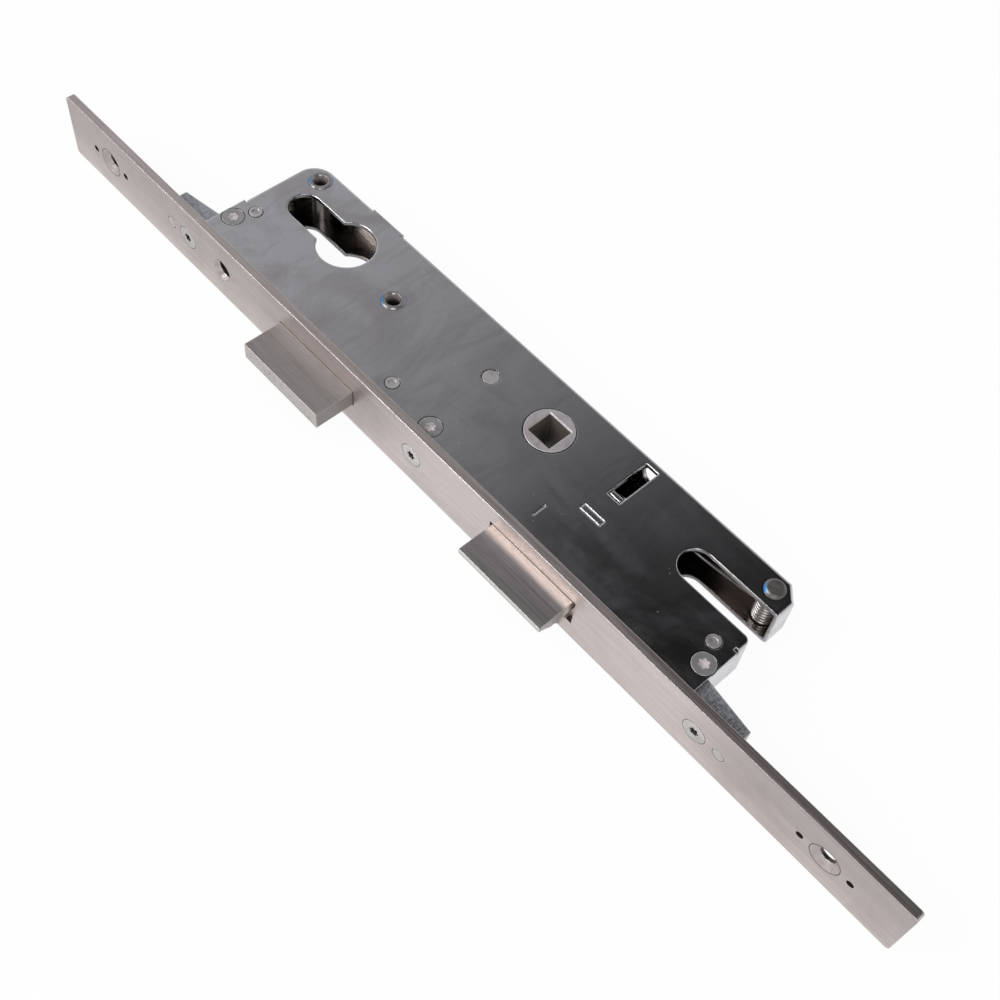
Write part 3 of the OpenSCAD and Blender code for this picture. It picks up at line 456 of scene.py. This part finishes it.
def roomMask(tree, low, high, soft=0.0002):
    # 1 on the inner faces of the case, which get a painted shade
    parts = placeParts(tree)
    mask = 1.0
    for k, axis in enumerate("XYZ"):
        above = mapRange(tree, parts[axis], low[k] - soft, low[k] + soft)
        below = mapRange(tree, parts[axis], high[k] - soft, high[k] + soft, 1.0, 0.0)
        mask = maths(tree, "MULTIPLY", maths(tree, "MULTIPLY", mask, above), below)
    return mask


def coverMarks(tree, colour, look):
    # Painted shade in the gaps round the fasteners, and blue stains beside the rivets and the spring post
    rings = [(c, look["screwRim"]) for c in screwPlaces]
    rings += [(c, look["pinRim"]) for c in pinPlaces]
    rings += [(guidePlace, look["guideRim"]), (hubPlace, look["hubRim"])]
    colour = darkRings(tree, colour, onCover, rings, look["gap"])
    stains = [(c, look["rivetStain"], way) for way in look["rivetStainWays"] for c in rivetPlaces]
    stains.append((postPlace, look["postStain"], look["postStainWay"]))
    return blueStains(tree, colour, stains, look["stainStart"])


def polishedSheet(name, look, isCover=False):
    material, tree, shader = newMaterial(name, look["metallic"])
    wear = useGroup(tree, smudges, Scale=38.0, Amount=1.0)
    edge = useGroup(tree, roundedEdges, Radius=look["edgeRadius"], Gain=4.0)
    dots = useGroup(tree, specks, Density=900.0, Share=0.03, Size=0.24)
    scratch = useGroup(tree, brushGrain, Stretch=look["scratchStretch"], Wobble=0.6)
    streaks = useGroup(tree, brushGrain, Stretch=look["streakStretch"], Wobble=1.2)
    colour = tint(tree, look["clean"], wear["Smudge"], look["smudgeShare"], look["film"])
    colour = mixColour(tree, mapRange(tree, streaks["Lines"], *look["streaks"]), colour, look["film"])
    colour = mixColour(tree, mapRange(tree, scratch["Lines"], *look["scratches"]), colour, look["edge"])
    colour = tint(tree, colour, dots["Speck"], look["speckShare"], look["edge"])
    # Painted highlight along the rounded edges
    colour = tint(tree, colour, edge["Edge"], look["edgeHighlightShare"], look["edge"])
    # Painted shade on the inner faces of the case
    colour = mixColour(tree, roomMask(tree, look["roomLow"], look["roomHigh"]), colour, look["inside"])
    if isCover:
        colour = coverMarks(tree, colour, look)
    tree.links.new(colour, shader.inputs["Base Color"])
    shares = look["roughness"]
    smudged = maths(tree, "MULTIPLY", wear["Smudge"], shares["smudge"])
    wiped = maths(tree, "MULTIPLY", wear["Wipe"], shares["wipe"])
    specked = maths(tree, "MULTIPLY", dots["Speck"], shares["speck"])
    film = maths(tree, "ADD", maths(tree, "ADD", smudged, wiped), specked)
    tree.links.new(maths(tree, "ADD", film, shares["clean"]), shader.inputs["Roughness"])
    addBump(tree, shader, scratch["Lines"], edge["Normal"], *look["bump"])
    return material


deadBoltFinish = {
    "metallic": 0.6,
    "pale": (0.37, 0.345, 0.335),
    "dark": (0.29, 0.27, 0.262),
    "edge": (0.85, 0.83, 0.81),
    "fleck": (0.20, 0.19, 0.185),
    "endTone": (0.60, 0.57, 0.55),
    "endFacing": (-0.9, -0.6, 1.0, 0.0),
    "band": (0.42, 0.39, 0.36),
    "bandDepth": 0.0008,  # how far in front of the faceplate the band ends
    "bandStart": 0.4,  # share of that depth up to which it is full
    "bandShare": 0.85,
    "stretch": (45.0, 2600.0, 2600.0),
    "smudgeShare": 0.35,
    "fleckShare": 0.3,
    "edgeRadius": 0.00035,
    "roughness": (0.44, 0.56),
    "roughFull": 1.6,
    "bump": (0.12, 0.00004),
}
latchFinish = dict(
    deadBoltFinish,
    metallic=0.75,
    pale=(0.42, 0.39, 0.395),
    dark=(0.31, 0.287, 0.293),
    band=(0.92, 0.80, 0.73),
    bandDepth=0.0036,
    roughness=(0.3, 0.46),
)


def groundSteel(name, look):
    material, tree, shader = newMaterial(name, look["metallic"])
    grain = useGroup(tree, brushGrain, Stretch=look["stretch"], Wobble=0.3)
    wear = useGroup(tree, smudges, Scale=110.0, Amount=0.8)
    edge = useGroup(tree, roundedEdges, Radius=look["edgeRadius"], Gain=5.0)
    dots = useGroup(tree, specks, Density=2400.0, Share=0.4, Size=0.45)
    lines = mapRange(tree, grain["Lines"], *lineRange)
    colour = mixColour(tree, lines, look["dark"], look["pale"])
    colour = tint(tree, colour, wear["Smudge"], look["smudgeShare"], look["dark"])
    colour = tint(tree, colour, dots["Speck"], look["fleckShare"], look["fleck"])
    # Speckled end face, and a band where the head leaves the faceplate
    endFace = mapRange(tree, normalParts(tree)["Y"], *look["endFacing"])
    speckled = mixColour(tree, dots["Speck"], look["endTone"], look["fleck"])
    colour = mixColour(tree, endFace, colour, speckled)
    deep = -look["bandDepth"]
    strip = mapRange(tree, placeParts(tree)["Y"], deep, deep * look["bandStart"], 0.0, look["bandShare"])
    colour = mixColour(tree, strip, colour, look["band"])
    # Painted highlight along the rounded edges
    colour = mixColour(tree, edge["Edge"], colour, look["edge"])
    tree.links.new(colour, shader.inputs["Base Color"])
    grainRoughness(tree, shader, lines, wear["Smudge"], look)
    addBump(tree, shader, lines, edge["Normal"], *look["bump"])
    return material


castFinish = {
    "metallic": 0.7,
    "base": (0.40, 0.41, 0.445),
    "pale": (0.78, 0.79, 0.82),
    "dark": (0.14, 0.145, 0.16),
    "edge": (0.88, 0.89, 0.92),
    "mottleShare": 0.5,
    "mottleLeast": 0.3,
    "smudgeShare": 0.4,
    "edgeRadius": 0.0005,
    "edgeLeast": 0.65,
    "roughness": (0.34, 0.52),
    "bump": (0.35, 0.00006),
}


def castZinc(name, look):
    material, tree, shader = newMaterial(name, look["metallic"])
    pits = useGroup(tree, specks, Density=1900.0, Share=0.6, Size=0.55)
    wear = useGroup(tree, smudges, Scale=210.0, Amount=1.0)
    edge = useGroup(tree, roundedEdges, Radius=look["edgeRadius"], Gain=6.0)
    tone = mixColour(tree, pits["Tone"], look["dark"], look["pale"])
    mottle = maths(tree, "MULTIPLY", pits["Speck"], look["mottleShare"])
    mottle = maths(tree, "ADD", mottle, look["mottleLeast"])
    colour = mixColour(tree, mottle, look["base"], tone)
    colour = tint(tree, colour, wear["Smudge"], look["smudgeShare"], look["pale"])
    # Lighter edges: a painted highlight along the rounded edges, partly wear from rubbing, made patchy by
    # the wipe noise
    rubAndHighlight = maths(tree, "ADD", look["edgeLeast"], wear["Wipe"])
    wornAndHighlitEdge = maths(tree, "MULTIPLY", edge["Edge"], rubAndHighlight, clamp=True)
    colour = mixColour(tree, wornAndHighlitEdge, colour, look["edge"])
    tree.links.new(colour, shader.inputs["Base Color"])
    rough = mapRange(tree, pits["Tone"], 0.0, 1.0, *look["roughness"])
    tree.links.new(rough, shader.inputs["Roughness"])
    addBump(tree, shader, pits["Speck"], edge["Normal"], *look["bump"])
    return material


platedFinish = {
    "metallic": 0.68,
    "base": (0.60, 0.58, 0.57),
    "dark": (0.34, 0.325, 0.32),
    "edge": (0.94, 0.94, 0.94),
    "smudgeShare": 0.6,
    "speckShare": 0.4,
    "edgeRadius": 0.00018,
    "roughness": 0.3,
    "roughSpread": 0.14,
    "bump": (0.1, 0.00003),
    "onFace": onCover,
    "bore": None,
    "boreMetallic": 0.25,
    "stains": [],
    "stainStart": 0.8,
}
stainSide = (-0.70, -0.71, 0.0)  # the side of a rim that has the heat tint

plateScrewFinish = dict(
    platedFinish,
    onFace=onPlate,
    bore={
        "centres": plateScrewPlaces,
        "radius": 0.0019,
        "deep": (0.05, 0.045, 0.045),
        "mouth": (0.12, 0.11, 0.105),
        "heights": (-0.002, 0.0),
    },
)
coverScrewFinish = dict(
    platedFinish,
    metallic=0.65,
    base=(0.42, 0.41, 0.41),
    dark=(0.28, 0.27, 0.27),
    roughness=0.36,
    # The pale tones in the recesses are a painted highlight
    bore={
        "centres": screwPlaces,
        "radius": 0.0018,
        "deep": (0.80, 0.76, 0.76),
        "mouth": (0.80, 0.76, 0.76),
        "heights": (0.0, 0.001),
    },
)
rivetFinish = dict(
    platedFinish,
    metallic=0.85,
    base=(0.40, 0.385, 0.38),
    dark=(0.20, 0.185, 0.175),
    roughness=0.26,
    bore={
        "centres": rivetPlaces,
        "radius": 0.0025,
        "deep": (0.05, 0.045, 0.043),
        "mouth": (0.40, 0.35, 0.335),
        "heights": (0.0042, 0.0066),
    },
    stains=[(c, (0.0030, 0.0035), stainSide) for c in rivetPlaces],
)
postFinish = dict(
    platedFinish,
    metallic=0.75,
    base=(0.25, 0.235, 0.23),
    dark=(0.10, 0.095, 0.09),
    roughness=0.34,
    stains=[(postPlace, (0.0024, 0.0031), stainSide)],
)
wireFinish = dict(
    platedFinish,
    metallic=0.95,
    base=(0.66, 0.63, 0.61),
    dark=(0.34, 0.32, 0.31),
    edgeRadius=0.00006,
    roughness=0.16,
)
hubFinish = dict(
    platedFinish,
    metallic=0.6,
    base=(0.59, 0.55, 0.56),
    dark=(0.37, 0.345, 0.35),
    edgeRadius=0.0004,
    roughness=0.4,
    bore={
        "centres": [hubPlace],
        "radius": 0.0058,
        "deep": (0.105, 0.088, 0.078),
        "mouth": (0.16, 0.135, 0.12),
        "heights": (-0.004, 0.0072),
    },
)

coverTop = 0.0072  # half the thickness of the case
boreSoft = 0.0001  # half the width of the mask's soft edge
boreSunk = (0.0006, 0.0003)  # how far below the face a floor counts as part of a bore


def boreWalls(tree, centres, radius, onFace):
    # The mask where hole walls get painted shade (a painted highlight in the cover screws), and the
    # height out of the face, for holes in the cover's or the faceplate's side
    near = 0.0
    for centre in centres:
        # With its inner edge below zero the ring is a full disc
        disc = useGroup(tree, ringMask, Flatten=onFace, Centre=centre, Inner=-radius,
                        Outer=radius + boreSoft, Soft=boreSoft)
        near = maths(tree, "MAXIMUM", near, disc["Ring"])
    parts = placeParts(tree)
    if onFace == onCover:
        top = coverTop
        height = parts["Z"]
        steep = useGroup(tree, holeWalls, Axis=acrossCover)["Wall"]
    else:
        top = 0.0
        height = maths(tree, "MULTIPLY", parts["Y"], -1.0)
        steep = useGroup(tree, holeWalls, Axis=acrossPlate)["Wall"]
    sunk = mapRange(tree, height, top - boreSunk[0], top - boreSunk[1], 1.0, 0.0)
    return maths(tree, "MULTIPLY", near, maths(tree, "MAXIMUM", steep, sunk)), height


def platedSteel(name, look):
    material, tree, shader = newMaterial(name, look["metallic"])
    wear = useGroup(tree, smudges, Scale=240.0, Amount=1.0)
    edge = useGroup(tree, roundedEdges, Radius=look["edgeRadius"], Gain=5.0)
    dots = useGroup(tree, specks, Density=2600.0, Share=0.25, Size=0.45)
    colour = tint(tree, look["base"], wear["Smudge"], look["smudgeShare"], look["dark"])
    colour = tint(tree, colour, dots["Speck"], look["speckShare"], look["dark"])
    # Painted highlight along the rounded edges
    colour = mixColour(tree, edge["Edge"], colour, look["edge"])
    bore = look["bore"]
    if bore:
        # Painted shade on the walls of the holes in the piece, from deep down to the mouth; in the cover
        # screws' recesses these tones are a painted highlight
        wall, height = boreWalls(tree, bore["centres"], bore["radius"], look["onFace"])
        shade = mixColour(tree, mapRange(tree, height, *bore["heights"]), bore["deep"], bore["mouth"])
        colour = mixColour(tree, wall, colour, shade)
        loss = maths(tree, "MULTIPLY", wall, look["metallic"] - look["boreMetallic"])
        dull = maths(tree, "SUBTRACT", look["metallic"], loss)
        tree.links.new(dull, shader.inputs["Metallic"])
    colour = blueStains(tree, colour, look["stains"], look["stainStart"])
    tree.links.new(colour, shader.inputs["Base Color"])
    least = look["roughness"]
    rough = mapRange(tree, wear["Wipe"], 0.0, 1.0, least, least + look["roughSpread"])
    tree.links.new(rough, shader.inputs["Roughness"])
    addBump(tree, shader, dots["Speck"], edge["Normal"], *look["bump"])
    return material


finishes = {
    "satin": satinSteel("satinFaceplate", faceplateFinish),
    "cover": polishedSheet("polishedCover", coverFinish, isCover=True),
    "sheet": polishedSheet("polishedSheet", coverFinish),
    "deadBolt": groundSteel("deadBoltSteel", deadBoltFinish),
    "latch": groundSteel("latchSteel", latchFinish),
    "cast": castZinc("dieCastZinc", castFinish),
    "nickel": platedSteel("nickelPlate", platedFinish),
    "plateScrew": platedSteel("faceplateScrew", plateScrewFinish),
    "coverScrew": platedSteel("coverScrew", coverScrewFinish),
    "rivet": platedSteel("rivetPlate", rivetFinish),
    "post": platedSteel("postPlate", postFinish),
    "wire": platedSteel("springWire", wireFinish),
    "hub": platedSteel("sinteredHub", hubFinish),
}

nodeFinish = {
    "faceplate": "satin", "front_cover": "cover", "rear_shell": "sheet", "spring_plate": "sheet",
    "lower_lug": "cast", "upper_lug": "cast", "centre_block": "cast",
    "faceplate_screws": "plateScrew", "cover_screws": "coverScrew",
    "lug_pins": "nickel", "case_pins": "nickel", "guide_pin": "nickel",
    "tubular_rivets": "rivet", "spring_post": "post",
    "deadbolt_head": "deadBolt", "deadbolt_slide": "sheet",
    "deadbolt_rivets": "nickel", "detent_spring": "wire",
    "latch_head": "latch", "latch_rod": "nickel", "rod_plate": "sheet", "latch_spring": "wire",
    "hub": "hub", "return_spring": "wire",
}

for nodeName, finish in nodeFinish.items():
    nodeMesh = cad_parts[nodeName].data
    nodeMesh.materials.clear()
    nodeMesh.materials.append(finishes[finish])
print("finishes set:", len(finishes))


# The two coil springs, wound again as smooth round wire

returnCoil = {
    "turns": 7.5,
    "radius": 0.0031,
    "wire": 0.0004,  # half the thickness of the wire
    "low": -0.00555,
    "high": 0.0038,
    "shortLeg": 0.012,
    "shortLegStops": (0.0, 0.3, 0.6, 0.85),  # points along it, as shares of its length
    "legEnd": (0.0429, 0.0319),
    "legBow": 0.0007,
    "legSteps": 16,
    "ringsPerTurn": 24,
    "sides": 12,
}
latchCoil = {
    "turns": 10,
    "radius": 0.0028,
    "wire": 0.00035,
    "ringsPerTurn": 24,
    "sides": 10,
    "keep": 0.49,  # share of its length that is left with the latch pressed in
}


def sweptTube(name, points, radius, sides):
    points = [Vector(p) for p in points]
    last = len(points) - 1
    side = (points[1] - points[0]).normalized().orthogonal().normalized()
    vertices = []
    faces = []
    for i, point in enumerate(points):
        along = (points[min(i + 1, last)] - points[max(i - 1, 0)]).normalized()
        side = (side - along * side.dot(along)).normalized()
        up = along.cross(side)
        for k in range(sides):
            angle = 2.0 * math.pi * k / sides
            vertices.append(point + radius * (math.cos(angle) * side + math.sin(angle) * up))
    for i in range(last):
        for k in range(sides):
            a = i * sides + k
            b = i * sides + (k + 1) % sides
            faces.append((a, b, b + sides, a + sides))
    faces.append(tuple(reversed(range(sides))))
    faces.append(tuple(range(last * sides, (last + 1) * sides)))
    mesh = bpy.data.meshes.new(name)
    mesh.from_pydata([tuple(v) for v in vertices], [], faces)
    for polygon in mesh.polygons:
        polygon.use_smooth = len(polygon.vertices) == 4
    mesh.materials.append(finishes["wire"])
    tube = bpy.data.objects.new(name, mesh)
    bpy.context.collection.objects.link(tube)
    return tube


def buildReturnSpring(look):
    centreX, centreY = postPlace[:2]
    radius = look["radius"]
    steps = int(look["turns"] * look["ringsPerTurn"])
    rings = []
    for i in range(steps + 1):
        angle = math.radians(90.0 - 360.0 * i / look["ringsPerTurn"])
        height = look["low"] + (look["high"] - look["low"]) * i / steps
        rings.append((centreX + radius * math.cos(angle), centreY + radius * math.sin(angle), height))
    first = rings[0]
    lead = [(first[0] - look["shortLeg"] * (1.0 - t), first[1], first[2]) for t in look["shortLegStops"]]
    last = rings[-1]
    endX, endY = look["legEnd"]
    tail = []
    for i in range(1, look["legSteps"] + 1):
        t = i / look["legSteps"]
        bow = look["legBow"] * math.sin(math.pi * t) * (1.0 - 2.0 * t)
        tail.append((last[0] + (endX - last[0]) * t, last[1] + (endY - last[1]) * t - bow, last[2]))
    spring = sweptTube("returnSpringWire", lead + rings + tail, look["wire"], look["sides"])
    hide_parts("return_spring")
    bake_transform(spring)


def buildLatchSpring(look):
    low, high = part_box("latch_spring")
    centreX = (low[0] + high[0]) / 2
    radius = look["radius"]
    steps = look["turns"] * look["ringsPerTurn"]
    front, back = low[1] + look["wire"], high[1] - look["wire"]
    rings = []
    for i in range(steps + 1):
        angle = 2.0 * math.pi * i / look["ringsPerTurn"]
        depth = front + (back - front) * i / steps
        rings.append((centreX + radius * math.cos(angle), depth, radius * math.sin(angle)))
    spring = sweptTube("latchSpringWire", rings, look["wire"], look["sides"])
    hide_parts("latch_spring")
    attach(spring, "case")
    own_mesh(spring)


buildReturnSpring(returnCoil)
buildLatchSpring(latchCoil)
print("springs wound")


# Floor, room, lights and camera

stageLook = {
    "size": 6.0,
    "drop": 0.0002,
    "paleTones": ((0.86, 0.86, 0.86), (0.9, 0.9, 0.9)),
    "shadowTone": 0.95,
    "mirrorShare": 0.78,
    "behind": (-0.010, 0.03, 1.0, 0.40),
    "behindReach": (0.088, 0.098, 1.0, 0.0),
    "brightAt": 0.042,  # middle of the stretch in front of the faceplate that isn't dimmed
    "besideReach": (0.042, 0.075, 1.0, 0.55),
    "besideFront": (-0.010, 0.004, 1.0, 0.0),
}


def floorDimming(tree, place, look):
    # Painted shade in place of the part's shadow: in metal the floor shows darker behind the part and in
    # front of its two ends
    parts = addNode(tree, "SeparateXYZ", Vector=place).outputs
    behind = maths(tree, "SUBTRACT", 1.0, mapRange(tree, parts["Y"], *look["behind"]))
    behind = maths(tree, "MULTIPLY", behind, mapRange(tree, parts["X"], *look["behindReach"]))
    away = maths(tree, "ABSOLUTE", maths(tree, "SUBTRACT", parts["X"], look["brightAt"]))
    beside = maths(tree, "SUBTRACT", 1.0, mapRange(tree, away, *look["besideReach"]))
    beside = maths(tree, "MULTIPLY", beside, mapRange(tree, parts["Y"], *look["besideFront"]))
    return maths(tree, "MAXIMUM", behind, beside)


def buildFloor(look):
    low = cadBox[0]
    bpy.ops.mesh.primitive_plane_add(size=look["size"], location=(0.0, 0.0, low[2] - look["drop"]))
    floor = bpy.context.object
    floor.name = "floor"
    material = bpy.data.materials.new("paleFloor")
    material.use_nodes = True
    tree = material.node_tree
    tree.nodes.clear()
    out = addNode(tree, "OutputMaterial")
    place = objectPlace(tree)
    clouds = addNode(tree, "TexNoise", Vector=place, Scale=9.0, Detail=2.0)
    tone = mixColour(tree, clouds.outputs["Fac"], *look["paleTones"])
    matt = addNode(tree, "BsdfDiffuse", Color=tone)
    path = addNode(tree, "LightPath").outputs
    dimmed = maths(tree, "MULTIPLY", path["Is Glossy Ray"], floorDimming(tree, place, look))
    bright = maths(tree, "SUBTRACT", 1.0, dimmed)
    white = addNode(tree, "Emission", Color=(1.0, 1.0, 1.0, 1.0), Strength=bright)
    seen = maths(tree, "MAXIMUM", path["Is Camera Ray"], path["Is Transmission Ray"])
    share = maths(tree, "ADD", maths(tree, "MULTIPLY", seen, look["shadowTone"]),
                  maths(tree, "MULTIPLY", path["Is Glossy Ray"], look["mirrorShare"]), clamp=True)
    mixed = addNode(tree, "MixShader", Fac=share)
    tree.links.new(matt.outputs[0], mixed.inputs[1])
    tree.links.new(white.outputs[0], mixed.inputs[2])
    tree.links.new(mixed.outputs[0], out.inputs["Surface"])
    floor.data.materials.append(material)


roomLook = {
    "glow": (-0.16, -0.66, 0.02, 0.50),
    "screenX": (-0.365, -0.315, 0.0, 1.0),
    "screenY": (0.45, 0.49, 1.0, 0.0),
    "screenShare": 0.57,
    "walls": (0.15, 0.5, 1.0, 0.0),
    "wallTone": 0.85,
    "blueGain": 1.02,
    "fill": (0.55, 0.55, 0.56, 1.0),
    "white": (1.0, 1.0, 1.0, 1.0),
}


def buildRoom(look):
    world = bpy.data.worlds.new("studio")
    bpy.context.scene.world = world
    world.use_nodes = True
    tree = world.node_tree
    tree.nodes.clear()
    out = addNode(tree, "OutputWorld")
    way = addNode(tree, "TexCoord").outputs["Generated"]
    parts = addNode(tree, "SeparateXYZ", Vector=way).outputs
    # Metal sees pale walls low down, a dark room above, and a grey glow past the cylinder end,
    # which a screen makes darker in one part
    glow = mapRange(tree, parts["X"], *look["glow"])
    screen = maths(tree, "MULTIPLY", mapRange(tree, parts["X"], *look["screenX"]),
                   mapRange(tree, parts["Y"], *look["screenY"]))
    shade = maths(tree, "SUBTRACT", 1.0, maths(tree, "MULTIPLY", screen, look["screenShare"]))
    glow = maths(tree, "MULTIPLY", glow, shade)
    walls = maths(tree, "MULTIPLY", mapRange(tree, parts["Z"], *look["walls"]), look["wallTone"])
    tone = maths(tree, "MAXIMUM", glow, walls)
    blue = maths(tree, "MULTIPLY", tone, look["blueGain"])
    mirroredTone = addNode(tree, "CombineColor", Red=tone, Green=tone, Blue=blue).outputs[0]
    path = addNode(tree, "LightPath").outputs
    mirrored = addNode(tree, "Background", Color=mirroredTone, Strength=1.0)
    fill = addNode(tree, "Background", Color=look["fill"], Strength=1.0)
    white = addNode(tree, "Background", Color=look["white"], Strength=1.0)
    first = addNode(tree, "MixShader", Fac=path["Is Glossy Ray"])
    tree.links.new(fill.outputs[0], first.inputs[1])
    tree.links.new(mirrored.outputs[0], first.inputs[2])
    second = addNode(tree, "MixShader", Fac=path["Is Camera Ray"])
    tree.links.new(first.outputs[0], second.inputs[1])
    tree.links.new(white.outputs[0], second.inputs[2])
    tree.links.new(second.outputs[0], out.inputs["Surface"])


softboxes = {
    "keySoftbox": {"place": (-0.7, -1.0, 1.2), "size": (0.9, 0.9), "power": 14.0},
    "fillSoftbox": {"place": (0.9, -0.8, 0.9), "size": (0.8, 0.8), "power": 5.0},
}


def addSoftbox(name, look):
    data = bpy.data.lights.new(name, "AREA")
    data.shape = "RECTANGLE"
    data.size, data.size_y = look["size"]
    data.energy = look["power"]
    lamp = bpy.data.objects.new(name, data)
    bpy.context.collection.objects.link(lamp)
    lamp.location = look["place"]
    towardsPart = -Vector(look["place"])
    lamp.rotation_euler = towardsPart.to_track_quat("-Z", "Y").to_euler()


# The camera fitted to the photo: its axes, place in metres and lens
cameraLook = {
    "right": (0.672611, 0.736084, 0.075991),
    "down": (0.646348, -0.534383, -0.544673),
    "forward": (-0.360317, 0.41547, -0.835199),
    "place": (0.153455, -0.142165, 0.303364),
    "sensorWidth": 36.0,
    "lens": 50.05,
    "clipStart": 0.01,
}


def buildCamera(look):
    data = bpy.data.cameras.new("photoCamera")
    data.sensor_width = look["sensorWidth"]
    data.lens = look["lens"]
    data.clip_start = look["clipStart"]
    camera = bpy.data.objects.new("photoCamera", data)
    bpy.context.collection.objects.link(camera)
    turn = Matrix((Vector(look["right"]), -Vector(look["down"]), -Vector(look["forward"]))).transposed()
    camera.matrix_world = Matrix.Translation(Vector(look["place"])) @ turn.to_4x4()
    bpy.context.scene.camera = camera


buildFloor(stageLook)
buildRoom(roomLook)
for lampName, lampLook in softboxes.items():
    addSoftbox(lampName, lampLook)
buildCamera(cameraLook)
bpy.context.scene.view_settings.view_transform = "Standard"
print("floor, room, lights and camera built")
